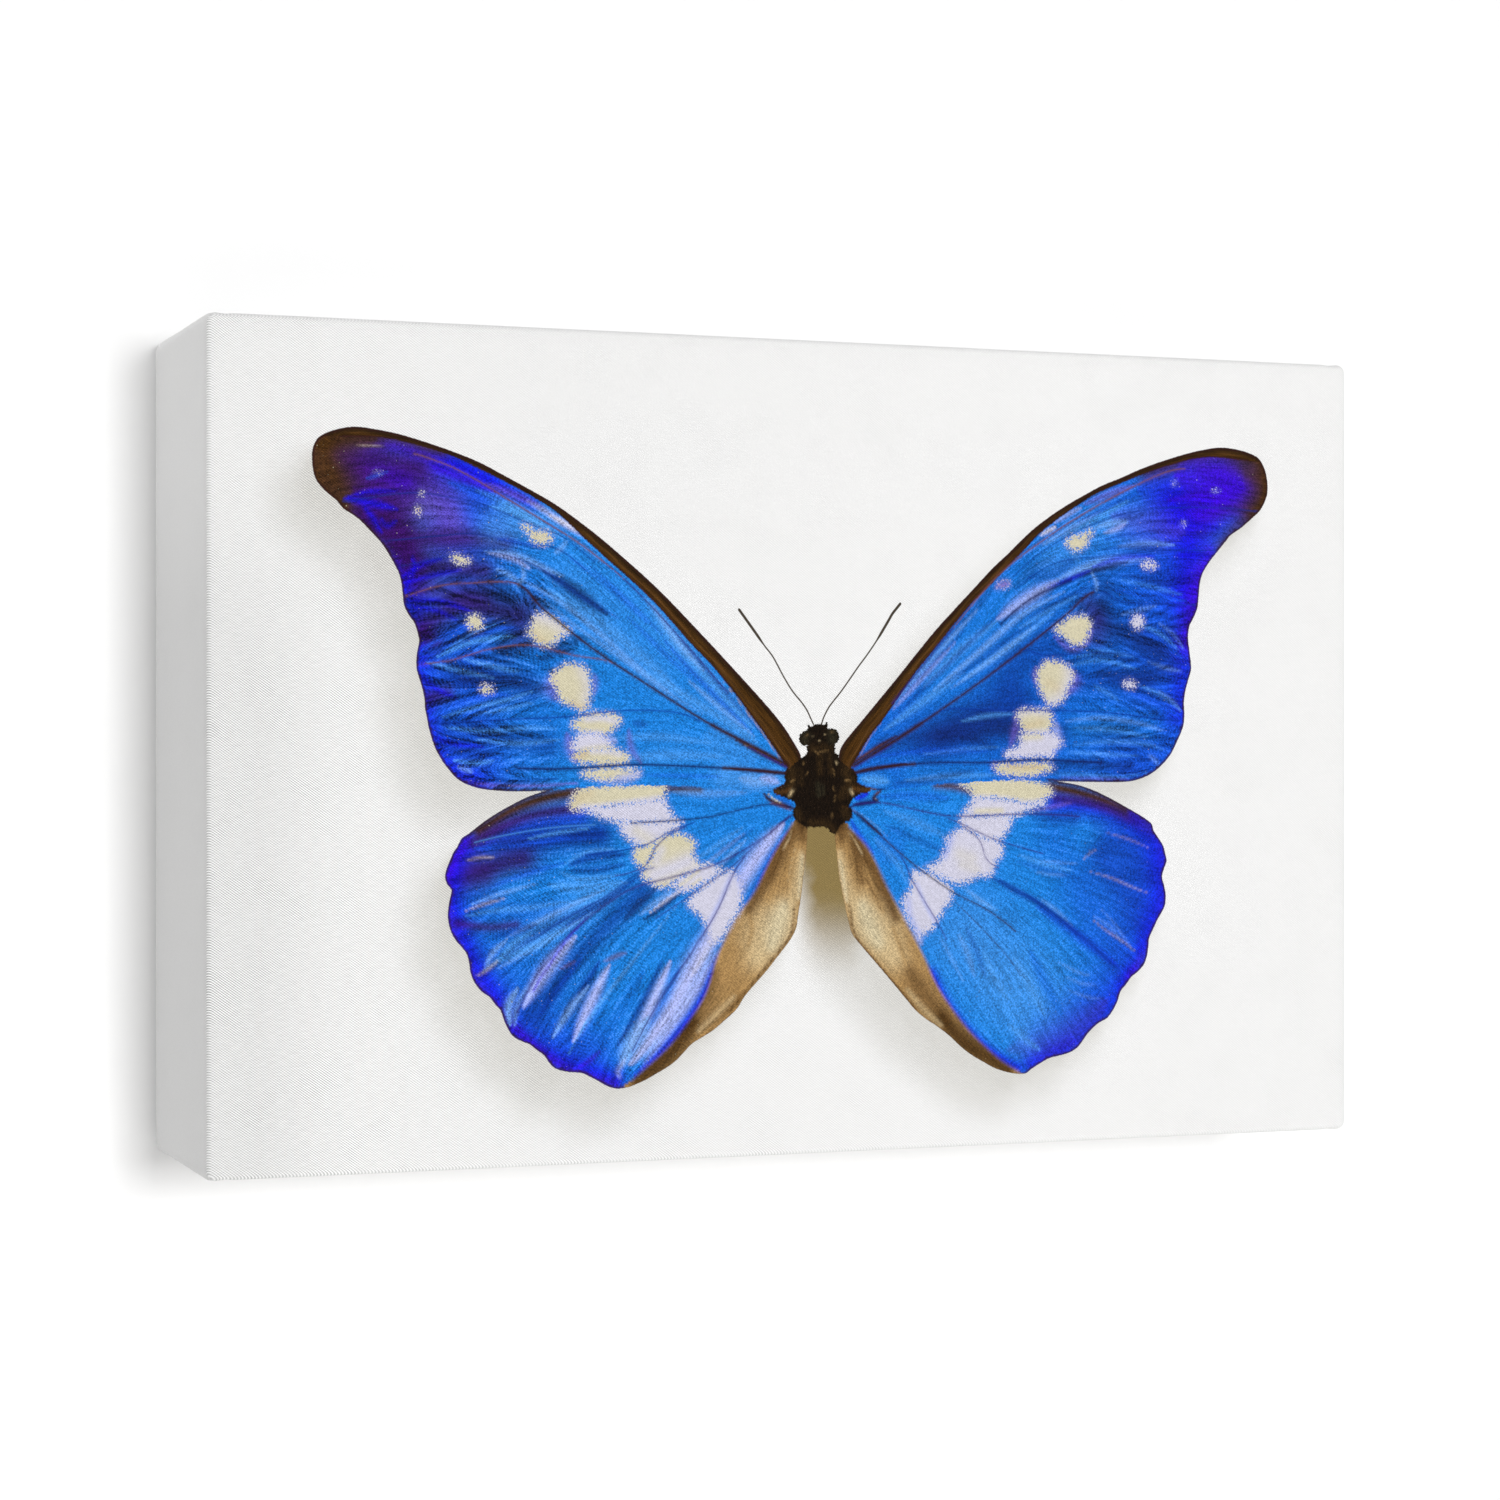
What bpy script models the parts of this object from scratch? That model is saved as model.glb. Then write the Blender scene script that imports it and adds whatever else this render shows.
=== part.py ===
"""A butterfly photo print on canvas, stretched round a deep wooden frame and hung on a sawtooth plate.

Metres, with +Z up, +X to the right as the picture is seen and +Y back into the wall.
The model is laid out round the middle of the picture's back, and one empty then carries it all
to its place: the world's origin is the roof of the sawtooth plate's middle notch, on the wall nail.
"""

import math

import bmesh
import bpy
from mathutils import Matrix, Vector

# The wrapped picture, over everything but the plate and the bumpers
PICTURE_WIDTH = 0.2286
PICTURE_HEIGHT = 0.1524
PICTURE_DEPTH = 0.0500
FIT_GAP = 0.0003

# The printed canvas, one sheet with its edge folded over the frame's back
CANVAS_THICKNESS = 0.0005
CANVAS_FLAP = 0.0180
CANVAS_EDGE_RADIUS = CANVAS_THICKNESS + FIT_GAP
CANVAS_EDGE_STEPS = 3

# The four pine bars: a bead holds the canvas off the rest of the bar's face
BAR_WIDTH = 0.0220
BEAD_WIDTH = 0.0050
BEAD_DROP = 0.0020
FACE_SLOPE = 0.0040
TONGUE_THICKNESS = 0.0080
TONGUE_INSET = (0.0060, 0.0150)
TONGUE_REACH = (0.0200, 0.0045)

# Wire staples that hold the folded edge
STAPLE_CROWN = 0.0110
STAPLE_LEG = 0.0070
STAPLE_TIP = 0.0012
STAPLE_WIRE_WIDTH = 0.0012
STAPLE_WIRE_THICKNESS = 0.0006
STAPLE_INSET = 0.0110
STAPLES_ALONG_WIDTH = (0.034, 0.060, 0.086)
STAPLES_ALONG_HEIGHT = (0.015, 0.044)

# The sawtooth plate, whose middle stands off the canvas to let a nail head in
PLATE_LENGTH = 0.0440
PLATE_HEIGHT = 0.0080
PLATE_THICKNESS = 0.0009
PLATE_STEP = 0.0012
PLATE_RAISED_HALF = 0.0135
PLATE_STEP_RUN = 0.0018
PLATE_BELOW_TOP = 0.0115
NOTCH_COUNT = 7
NOTCH_PITCH = 0.0034
NOTCH_ROOF = 0.0014
NOTCH_MOUTH = 0.0028
NOTCH_HEIGHT = 0.0020

# Panel pins through the plate's two ends
PIN_X = 0.0188
PIN_RADIUS = 0.0006
PIN_LENGTH = 0.0120
PIN_HEAD_RADIUS = 0.0015
PIN_HEAD_THICKNESS = 0.0005
PIN_STEPS = 16

# Two soft bumpers that keep the lower edge square to the wall
BUMPER_RADIUS = 0.0050
BUMPER_FACE_RADIUS = 0.0036
BUMPER_HEIGHT = 0.0021
BUMPER_SHOULDER = 0.0013
BUMPER_INSET = 0.0115
BUMPER_X = 0.1015
BUMPER_STEPS = 24

# Places that follow from the sizes, with the picture's back face at y = 0
SKIN = CANVAS_THICKNESS + FIT_GAP
BAR_FRONT = -PICTURE_DEPTH + SKIN
BAR_BACK = -SKIN
FRAME_HALF_X = PICTURE_WIDTH / 2 - SKIN
FRAME_HALF_Z = PICTURE_HEIGHT / 2 - SKIN
PLATE_Z = PICTURE_HEIGHT / 2 - PLATE_BELOW_TOP
NOTCH_ROOF_Z = PLATE_Z - PLATE_HEIGHT / 2 + NOTCH_HEIGHT
NOTCH_ROOF_Y = FIT_GAP + PLATE_STEP + PLATE_THICKNESS / 2


def start_scene():
    """Empties the scene and returns the part's collection, the cutters' one and the carrying empty."""
    for old in list(bpy.data.objects):
        bpy.data.objects.remove(old)
    part = bpy.data.collections.new("butterfly_canvas_print")
    cutters = bpy.data.collections.new("cutters")
    for collection in (part, cutters):
        bpy.context.scene.collection.children.link(collection)
    hang_point = bpy.data.objects.new("hang_point", None)
    hang_point.location = (0, -NOTCH_ROOF_Y, -NOTCH_ROOF_Z)
    part.objects.link(hang_point)
    return part, cutters, hang_point


PART, CUTTERS, HANG_POINT = start_scene()


def material(name, colour, roughness, metallic=0.0):
    made = bpy.data.materials.new(name)
    made.use_nodes = True
    shader = made.node_tree.nodes["Principled BSDF"]
    shader.inputs["Base Color"].default_value = (*colour, 1)
    shader.inputs["Roughness"].default_value = roughness
    shader.inputs["Metallic"].default_value = metallic
    made.diffuse_color = (*colour, 1)
    return made


CANVAS_WHITE = material("coated_canvas", (0.88, 0.88, 0.87), 0.75)
PINE = material("pine", (0.72, 0.52, 0.32), 0.60)
STAPLE_WIRE = material("galvanised_wire", (0.62, 0.63, 0.65), 0.35, 1.0)
BRASSED_STEEL = material("brassed_steel", (0.70, 0.55, 0.28), 0.35, 1.0)
CLEAR_RUBBER = material("soft_grey_rubber", (0.30, 0.30, 0.31), 0.55)


def place(obj, finish, location=(0, 0, 0), turn_y=0.0):
    """Puts a finished piece in the part's collection, carried by the hang point."""
    PART.objects.link(obj)
    obj.data.materials.append(finish)
    obj.location = location
    obj.rotation_euler = (0, turn_y, 0)
    obj.parent = HANG_POINT
    return obj


def outline_curve(name, points, length):
    """Curve data for a flat outline in its own XY plane, extruded to a length centred on Z."""
    curve = bpy.data.curves.new(name, "CURVE")
    curve.dimensions = "2D"
    curve.fill_mode = "BOTH"
    curve.extrude = length / 2
    spline = curve.splines.new("POLY")
    spline.points.add(len(points) - 1)
    for point, (x, y) in zip(spline.points, points):
        point.co = (x, y, 0, 1)
    spline.use_cyclic_u = True
    return curve


def outline_mesh(name, points, length):
    """The same solid as a welded mesh, ready to be cut."""
    holder = bpy.data.objects.new(name, outline_curve(name, points, length))
    bpy.context.scene.collection.objects.link(holder)
    depsgraph = bpy.context.evaluated_depsgraph_get()
    mesh = bpy.data.meshes.new_from_object(holder.evaluated_get(depsgraph))
    bpy.data.objects.remove(holder)
    bm = bmesh.new()
    bm.from_mesh(mesh)
    bmesh.ops.remove_doubles(bm, verts=bm.verts, dist=1e-6)
    bmesh.ops.dissolve_limit(bm, angle_limit=math.radians(0.5), verts=bm.verts, edges=bm.edges)
    bm.to_mesh(mesh)
    bm.free()
    return mesh


def mesh_from(name, bm):
    mesh = bpy.data.meshes.new(name)
    bm.to_mesh(mesh)
    bm.free()
    return mesh


def block(bm, lowest, highest):
    """Adds a box between two corners."""
    low, high = Vector(lowest), Vector(highest)
    size = Matrix.Diagonal((*(high - low), 1))
    bmesh.ops.create_cube(bm, size=1, matrix=Matrix.Translation((low + high) / 2) @ size)


def cutter(name, mesh):
    """A tool body for Booleans, in the same place as the pieces that it works on."""
    tool = bpy.data.objects.new(name, mesh)
    CUTTERS.objects.link(tool)
    tool.parent = HANG_POINT
    tool.hide_render = True
    tool.display_type = "WIRE"
    return tool


def cut(obj, tool, operation="DIFFERENCE"):
    step = obj.modifiers.new(tool.name, "BOOLEAN")
    step.operation = operation
    step.object = tool


def turned(name, profile, steps):
    """A mesh with a Screw modifier: the profile's (radius, height) points run down its outer side."""
    bm = bmesh.new()
    points = [bm.verts.new((radius, 0, height)) for radius, height in profile]
    for upper, lower in zip(points, points[1:]):
        bm.edges.new((upper, lower))
    obj = bpy.data.objects.new(name, mesh_from(name, bm))
    screw = obj.modifiers.new("turn", "SCREW")
    screw.steps = steps
    screw.render_steps = steps
    screw.use_merge_vertices = True
    screw.merge_threshold = 1e-6
    screw.use_smooth_shade = False
    return obj


def staple_places():
    """(x, z, turned upright) for each staple, going round the frame's back."""
    edge_z = PICTURE_HEIGHT / 2 - STAPLE_INSET
    edge_x = PICTURE_WIDTH / 2 - STAPLE_INSET
    flat = [(side * x, end * edge_z, False)
            for end in (1, -1) for side in (-1, 1) for x in STAPLES_ALONG_WIDTH]
    upright = [(side * edge_x, end * z, True)
               for side in (-1, 1) for end in (1, -1) for z in STAPLES_ALONG_HEIGHT]
    return flat + upright


def leg_slots():
    """Every hole that a staple's leg makes, each a fit gap larger than the wire."""
    bm = bmesh.new()
    leg_middle = (STAPLE_CROWN - STAPLE_WIRE_THICKNESS) / 2
    half_thick = STAPLE_WIRE_THICKNESS / 2 + FIT_GAP
    half_wide = STAPLE_WIRE_WIDTH / 2 + FIT_GAP
    for x, z, upright in staple_places():
        for side in (-1, 1):
            if upright:
                centre, half = (x, z + side * leg_middle), (half_wide, half_thick)
            else:
                centre, half = (x + side * leg_middle, z), (half_thick, half_wide)
            block(bm,
                  (centre[0] - half[0], -STAPLE_LEG - FIT_GAP, centre[1] - half[1]),
                  (centre[0] + half[0], BUMPER_HEIGHT, centre[1] + half[1]))
    return cutter("leg_slots", mesh_from("leg_slots", bm))


def pin_holes():
    """The two round holes that the plate's pins go through."""
    bm = bmesh.new()
    depth = PIN_LENGTH + PLATE_STEP + 4 * FIT_GAP
    for side in (-1, 1):
        turn = Matrix.Rotation(math.radians(90), 4, "X")
        middle = Matrix.Translation((side * PIN_X, BUMPER_HEIGHT - depth / 2, PLATE_Z))
        radius = PIN_RADIUS + FIT_GAP
        bmesh.ops.create_cone(bm, cap_ends=True, segments=PIN_STEPS, radius1=radius, radius2=radius,
                              depth=depth, matrix=middle @ turn)
    return cutter("pin_holes", mesh_from("pin_holes", bm))


def corner_tongues(name, ends, grown=0.0):
    """The flat tongues across the mitres at the frame's top (1), bottom (-1) or both ends."""
    bm = bmesh.new()
    middle = (BAR_FRONT + BAR_BACK) / 2
    half = TONGUE_THICKNESS / 2 + grown
    for end in ends:
        for side in (-1, 1):
            across = sorted(side * (FRAME_HALF_X - reach + sign * grown)
                            for reach, sign in zip(TONGUE_REACH, (-1, 1)))
            along = sorted(end * (FRAME_HALF_Z - inset + sign * grown)
                           for inset, sign in zip(TONGUE_INSET, (1, -1)))
            block(bm, (across[0], middle - half, along[0]), (across[1], middle + half, along[1]))
    return cutter(name, mesh_from(name, bm))


def bar_mesh(name, length):
    """One bar with its outer edge on the Y axis, its section in XY and mitred ends along Z."""
    section = [
        (0, BAR_FRONT),
        (BEAD_WIDTH, BAR_FRONT),
        (BEAD_WIDTH + BEAD_DROP, BAR_FRONT + BEAD_DROP),
        (BAR_WIDTH, BAR_FRONT + FACE_SLOPE),
        (BAR_WIDTH, BAR_BACK),
        (0, BAR_BACK),
    ]
    mesh = outline_mesh(name, section, length)
    bm = bmesh.new()
    bm.from_mesh(mesh)
    mitre_half = length / 2 - FIT_GAP * math.sqrt(0.5)
    for end in (-1, 1):
        everything = [*bm.verts, *bm.edges, *bm.faces]
        bmesh.ops.bisect_plane(bm, geom=everything, dist=1e-7, plane_co=(0, 0, end * mitre_half),
                               plane_no=(1, 0, end), clear_outer=True)
        rim = [edge for edge in bm.edges if edge.is_boundary]
        bmesh.ops.holes_fill(bm, edges=rim)
    bmesh.ops.recalc_face_normals(bm, faces=bm.faces)
    bm.to_mesh(mesh)
    bm.free()
    return mesh


def stretcher_bars(slots, holes):
    """Top and bottom bars with tongues, and side bars slotted to take them."""
    all_slots = corner_tongues("tongue_slots", (1, -1), FIT_GAP)
    long_bar = 2 * FRAME_HALF_X
    short_bar = 2 * FRAME_HALF_Z
    layout = (
        ("top", long_bar, (0, 0, FRAME_HALF_Z), 90, 1),
        ("bottom", long_bar, (0, 0, -FRAME_HALF_Z), -90, -1),
        ("left", short_bar, (-FRAME_HALF_X, 0, 0), 0, None),
        ("right", short_bar, (FRAME_HALF_X, 0, 0), 180, None),
    )
    for side, length, location, turn, end in layout:
        name = "stretcher_bar_" + side
        bar = bpy.data.objects.new(name, bar_mesh(name, length))
        place(bar, PINE, location, math.radians(turn))
        if end is None:
            cut(bar, all_slots)
        else:
            cut(bar, corner_tongues("tongues_" + side, (end,)), "UNION")
        cut(bar, slots)
        if side == "top":
            cut(bar, holes)


def printed_canvas(slots, holes):
    """The sheet: a box with an open back, folded in all round by the flap's width."""
    bm = bmesh.new()
    block(bm, (-PICTURE_WIDTH / 2, -PICTURE_DEPTH, -PICTURE_HEIGHT / 2),
          (PICTURE_WIDTH / 2, 0, PICTURE_HEIGHT / 2))
    box_edges = list(bm.edges)
    bmesh.ops.bevel(bm, geom=box_edges, offset=CANVAS_EDGE_RADIUS, offset_type="OFFSET",
                    segments=CANVAS_EDGE_STEPS, profile=0.5, affect="EDGES")
    bm.normal_update()
    back = max(bm.faces, key=lambda face: face.normal.y * face.calc_area())
    bmesh.ops.inset_region(bm, faces=[back], thickness=CANVAS_FLAP - CANVAS_EDGE_RADIUS,
                           use_even_offset=True)
    bmesh.ops.delete(bm, geom=[back], context="FACES")
    canvas = place(bpy.data.objects.new("printed_canvas", mesh_from("printed_canvas", bm)), CANVAS_WHITE)
    skin = canvas.modifiers.new("thickness", "SOLIDIFY")
    skin.thickness = CANVAS_THICKNESS
    skin.offset = -1
    skin.use_even_offset = True
    cut(canvas, slots)
    cut(canvas, holes)


def staples():
    """Flat-crowned staples, with tapered tips on the legs."""
    half = STAPLE_CROWN / 2
    inner = half - STAPLE_WIRE_THICKNESS
    top = STAPLE_WIRE_THICKNESS
    tip = -STAPLE_LEG - FIT_GAP
    shoulder = tip + STAPLE_TIP
    corner = STAPLE_WIRE_THICKNESS / 3
    right = [(half - corner, top), (half, top - corner), (half, shoulder), (inner, tip), (inner, 0)]
    left = [(-x, y) for x, y in reversed(right)]
    wire = outline_curve("staple", right + left, STAPLE_WIRE_WIDTH)
    for number, (x, z, upright) in enumerate(staple_places(), 1):
        staple = bpy.data.objects.new(f"staple_{number:02d}", wire)
        PART.objects.link(staple)
        staple.location = (x, FIT_GAP, z)
        staple.rotation_euler = (0, math.radians(90 if upright else 0), 0)
        staple.parent = HANG_POINT
    wire.materials.append(STAPLE_WIRE)


def notch_cutters():
    """The row of tapered notches along the plate's lower edge, as separate prisms."""
    bm = bmesh.new()
    below = NOTCH_HEIGHT / 2
    spread = (NOTCH_MOUTH - NOTCH_ROOF) / 2 * (1 + below / NOTCH_HEIGHT)
    half_roof = NOTCH_ROOF / 2
    section = [(-half_roof - spread, -NOTCH_HEIGHT - below), (half_roof + spread, -NOTCH_HEIGHT - below),
               (half_roof, 0), (-half_roof, 0)]
    prism = outline_mesh("notch", section, 4 * (PLATE_STEP + PLATE_THICKNESS))
    prism.transform(Matrix.Rotation(math.radians(90), 4, "X"))
    for number in range(NOTCH_COUNT):
        x = (number - (NOTCH_COUNT - 1) / 2) * NOTCH_PITCH
        one = prism.copy()
        one.transform(Matrix.Translation((x, NOTCH_ROOF_Y, NOTCH_ROOF_Z)))
        bm.from_mesh(one)
        bpy.data.meshes.remove(one)
    bmesh.ops.recalc_face_normals(bm, faces=bm.faces)
    return cutter("notches", mesh_from("notches", bm))


def sawtooth_plate(holes):
    """A stamped strip seen from above as a stepped outline, its lower edge cut into teeth."""
    end = PLATE_LENGTH / 2
    foot = PLATE_RAISED_HALF + PLATE_STEP_RUN
    low, high = FIT_GAP, FIT_GAP + PLATE_STEP
    near_wood = [(-end, low), (-foot, low), (-PLATE_RAISED_HALF, high),
                 (PLATE_RAISED_HALF, high), (foot, low), (end, low)]
    near_wall = [(x, y + PLATE_THICKNESS) for x, y in reversed(near_wood)]
    mesh = outline_mesh("sawtooth_plate", near_wood + near_wall, PLATE_HEIGHT)
    plate = place(bpy.data.objects.new("sawtooth_plate", mesh), BRASSED_STEEL, (0, 0, PLATE_Z))
    cut(plate, notch_cutters())
    cut(plate, holes)


def plate_pins():
    seat = 2 * FIT_GAP + PLATE_THICKNESS
    profile = [
        (0, PIN_HEAD_THICKNESS),
        (PIN_HEAD_RADIUS * 0.7, PIN_HEAD_THICKNESS),
        (PIN_HEAD_RADIUS, PIN_HEAD_THICKNESS * 0.4),
        (PIN_HEAD_RADIUS, 0),
        (PIN_RADIUS, 0),
        (PIN_RADIUS, -PIN_LENGTH + PIN_RADIUS * 2),
        (0, -PIN_LENGTH),
    ]
    for side, x in (("left", -PIN_X), ("right", PIN_X)):
        pin = place(turned("plate_pin_" + side, profile, PIN_STEPS), BRASSED_STEEL, (x, seat, PLATE_Z))
        pin.rotation_euler = (math.radians(-90), 0, 0)


def bumpers():
    profile = [
        (0, BUMPER_HEIGHT),
        (BUMPER_FACE_RADIUS, BUMPER_HEIGHT),
        (BUMPER_RADIUS * 0.93, BUMPER_SHOULDER),
        (BUMPER_RADIUS, BUMPER_SHOULDER * 0.4),
        (BUMPER_RADIUS, 0),
        (0, 0),
    ]
    for side, x in (("left", -BUMPER_X), ("right", BUMPER_X)):
        bumper = place(turned("bumper_" + side, profile, BUMPER_STEPS), CLEAR_RUBBER,
                       (x, FIT_GAP, BUMPER_INSET - PICTURE_HEIGHT / 2))
        bumper.rotation_euler = (math.radians(-90), 0, 0)


SLOTS = leg_slots()
HOLES = pin_holes()
stretcher_bars(SLOTS, HOLES)
printed_canvas(SLOTS, HOLES)
staples()
sawtooth_plate(HOLES)
plate_pins()
bumpers()
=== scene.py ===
import math

import bmesh
import bpy
import numpy as np
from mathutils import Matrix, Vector
from mathutils.geometry import delaunay_2d_cdt
from mathutils.kdtree import KDTree


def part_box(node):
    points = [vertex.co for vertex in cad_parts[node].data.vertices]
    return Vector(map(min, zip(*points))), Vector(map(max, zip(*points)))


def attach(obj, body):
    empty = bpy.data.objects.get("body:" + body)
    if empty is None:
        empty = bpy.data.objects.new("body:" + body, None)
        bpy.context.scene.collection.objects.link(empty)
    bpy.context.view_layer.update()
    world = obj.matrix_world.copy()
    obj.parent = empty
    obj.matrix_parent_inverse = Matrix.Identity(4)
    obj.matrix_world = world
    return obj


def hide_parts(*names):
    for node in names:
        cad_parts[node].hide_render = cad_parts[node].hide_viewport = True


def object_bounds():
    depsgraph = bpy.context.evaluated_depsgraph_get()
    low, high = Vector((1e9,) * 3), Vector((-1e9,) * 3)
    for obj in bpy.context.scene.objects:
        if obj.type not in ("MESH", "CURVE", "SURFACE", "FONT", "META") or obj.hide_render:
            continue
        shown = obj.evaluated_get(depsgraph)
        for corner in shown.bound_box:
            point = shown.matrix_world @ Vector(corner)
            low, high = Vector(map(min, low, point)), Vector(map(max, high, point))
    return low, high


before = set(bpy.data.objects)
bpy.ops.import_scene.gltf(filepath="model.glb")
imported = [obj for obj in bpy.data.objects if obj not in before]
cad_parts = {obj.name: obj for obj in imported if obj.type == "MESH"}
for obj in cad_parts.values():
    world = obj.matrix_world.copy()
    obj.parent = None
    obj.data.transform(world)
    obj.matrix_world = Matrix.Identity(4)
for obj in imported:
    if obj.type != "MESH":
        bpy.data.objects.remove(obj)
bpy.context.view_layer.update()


# Stretcher bars
# Four planed pine bars, mitred and tongued at the corners, with a raised bead along the outer
# front edge. The knife has taken the sharpness off every arris.

MM = 0.001
SCENE = bpy.context.scene.collection


def seen_colour(red, green, blue):
    """A colour named by how bright it looks, 0 to 255, as the light that it stands for."""
    return tuple(((part / 255 + 0.055) / 1.055) ** 2.4 for part in (red, green, blue))


class Finish:
    """A procedural material, wired up one step at a time."""

    def __init__(self, name, roughness, specular=0.5, metallic=0.0):
        self.material = bpy.data.materials.new(name)
        self.material.use_nodes = True
        self.tree = self.material.node_tree
        self.shader = self.tree.nodes["Principled BSDF"]
        self.shader.inputs["Roughness"].default_value = roughness
        self.shader.inputs["Specular IOR Level"].default_value = specular
        self.shader.inputs["Metallic"].default_value = metallic

    def feed(self, socket, value):
        if isinstance(value, bpy.types.NodeSocket):
            self.tree.links.new(value, socket)
        elif isinstance(value, tuple) and len(value) == 3 and socket.type == "RGBA":
            socket.default_value = (*value, 1)
        else:
            socket.default_value = value

    def step(self, kind, inputs, **settings):
        made = self.tree.nodes.new(kind)
        for name, value in settings.items():
            setattr(made, name, value)
        for name, value in inputs.items():
            self.feed(made.inputs[name], value)
        return made

    def sum(self, operation, *values):
        return self.step("ShaderNodeMath", dict(enumerate(values)), operation=operation).outputs[0]

    def times(self, *values):
        return self.sum("MULTIPLY", *values)

    def plus(self, *values):
        return self.sum("ADD", *values)

    def line(self, value, slope, start):
        return self.sum("MULTIPLY_ADD", value, slope, start)

    def blend(self, amount, under, over):
        return self.step("ShaderNodeMix", {0: amount, 6: under, 7: over}, data_type="RGBA").outputs[2]

    def rise(self, value, low, high, bottom=0.0, top=1.0):
        inputs = {"Value": value, "From Min": low, "From Max": high, "To Min": bottom, "To Max": top}
        return self.step("ShaderNodeMapRange", inputs, interpolation_type="SMOOTHSTEP").outputs[0]

    def place(self):
        """Where the surface is, in millimetres."""
        spot = self.step("ShaderNodeTexCoord", {}).outputs["Object"]
        return self.scaled(spot, (1000, 1000, 1000))

    def scaled(self, vector, by):
        return self.step("ShaderNodeVectorMath", {0: vector, 1: by}, operation="MULTIPLY").outputs[0]

    def shifted(self, vector, by):
        return self.step("ShaderNodeVectorMath", {0: vector, 1: by}, operation="ADD").outputs[0]

    def split(self, vector):
        return self.step("ShaderNodeSeparateXYZ", {0: vector}).outputs

    def joined(self, x, y, z=0.0):
        return self.step("ShaderNodeCombineXYZ", {0: x, 1: y, 2: z}).outputs[0]

    def noise(self, vector, scale, detail=2.0, roughness=0.5):
        inputs = {"Vector": vector, "Scale": scale, "Detail": detail, "Roughness": roughness}
        return self.step("ShaderNodeTexNoise", inputs).outputs["Fac"]

    def relief(self, height, depth, strength=1.0):
        inputs = {"Height": height, "Distance": depth, "Strength": strength}
        bump = self.step("ShaderNodeBump", inputs).outputs[0]
        self.feed(self.shader.inputs["Normal"], bump)

    def colour(self, value):
        self.feed(self.shader.inputs["Base Color"], value)

    def roughness(self, value):
        self.feed(self.shader.inputs["Roughness"], value)


def pine_finish(name, along, offset):
    """Flat-sawn pine: early and late wood in long wavy bands, pores, and a few knots."""
    pale, late, knot = seen_colour(226, 194, 148), seen_colour(186, 138, 86), seen_colour(120, 74, 40)
    pine = Finish(name, 0.62, 0.3)
    spot = pine.shifted(pine.place(), offset)

    def drawn_out(across_grain, along_grain):
        return pine.scaled(spot, tuple(along_grain if axis == along else across_grain for axis in "XYZ"))

    bands = pine.noise(drawn_out(0.35, 0.012), 1.0, 2.0, 0.4)
    rings = pine.sum("SINE", pine.times(bands, 52.0))
    fibres = pine.noise(drawn_out(7.0, 0.25), 1.0, 3.0, 0.6)
    tint = pine.blend(pine.rise(rings, 0.1, 1.0, 0.0, 0.75), pale, late)
    tint = pine.blend(pine.rise(fibres, 0.45, 0.75, 0.0, 0.35), tint, late)
    knots = pine.step("ShaderNodeTexVoronoi", {"Vector": spot, "Scale": 0.021}).outputs["Distance"]
    tint = pine.blend(pine.rise(knots, 0.16, 0.07, 0.0, 0.85), tint, knot)
    handling = pine.noise(spot, 0.05, 3.0)
    pine.colour(pine.blend(pine.rise(handling, 0.4, 0.7, 0.0, 0.25), tint, seen_colour(170, 140, 108)))
    pine.relief(pine.line(rings, 0.15, fibres), 0.00012, 0.6)
    pine.roughness(pine.rise(fibres, 0.3, 0.7, 0.55, 0.72))
    return pine.material


def softened(node, name, finish, width, segments=2):
    """The frame's own solid with its arrises eased, standing in for it."""
    solid = bpy.data.objects.new(name, bpy.data.objects[node].data.copy())
    SCENE.objects.link(solid)
    bm = bmesh.new()
    bm.from_mesh(solid.data)
    bmesh.ops.remove_doubles(bm, verts=bm.verts, dist=1e-6)
    bmesh.ops.dissolve_limit(bm, angle_limit=math.radians(1), verts=bm.verts, edges=bm.edges)
    bm.to_mesh(solid.data)
    bm.free()
    eased = solid.modifiers.new("eased", "BEVEL")
    eased.width = width
    eased.segments = segments
    eased.limit_method = "ANGLE"
    eased.angle_limit = math.radians(25)
    eased.use_clamp_overlap = True
    solid.data.materials.clear()
    solid.data.materials.append(finish)
    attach(solid, "root")
    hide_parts(node)
    return solid


BAR_ARRIS = 0.4 * MM
GRAIN = {"top": ("X", (0, 0, 0)), "bottom": ("X", (63, 20, 0)),
         "left": ("Z", (11, 47, 5)), "right": ("Z", (29, 8, 71))}
BARS = ["stretcher_bar_" + side for side in GRAIN]
for bar_node, (side, cut) in zip(BARS, GRAIN.items()):
    bar = softened(bar_node, side + "_bar", pine_finish("pine_" + side, *cut), BAR_ARRIS)


# Printed canvas: the butterfly's drawing
# A spread blue butterfly, printed in ink on the coated side of the cloth, with nothing raised.
# It is drawn in millimetres from the picture's middle, and every curve is a run of x, z, x, z,
# with x to the right and z up.

WING_FILL = {"left fore": "azure", "right fore": "blue", "left hind": "azure", "right hind": "azure"}

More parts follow.
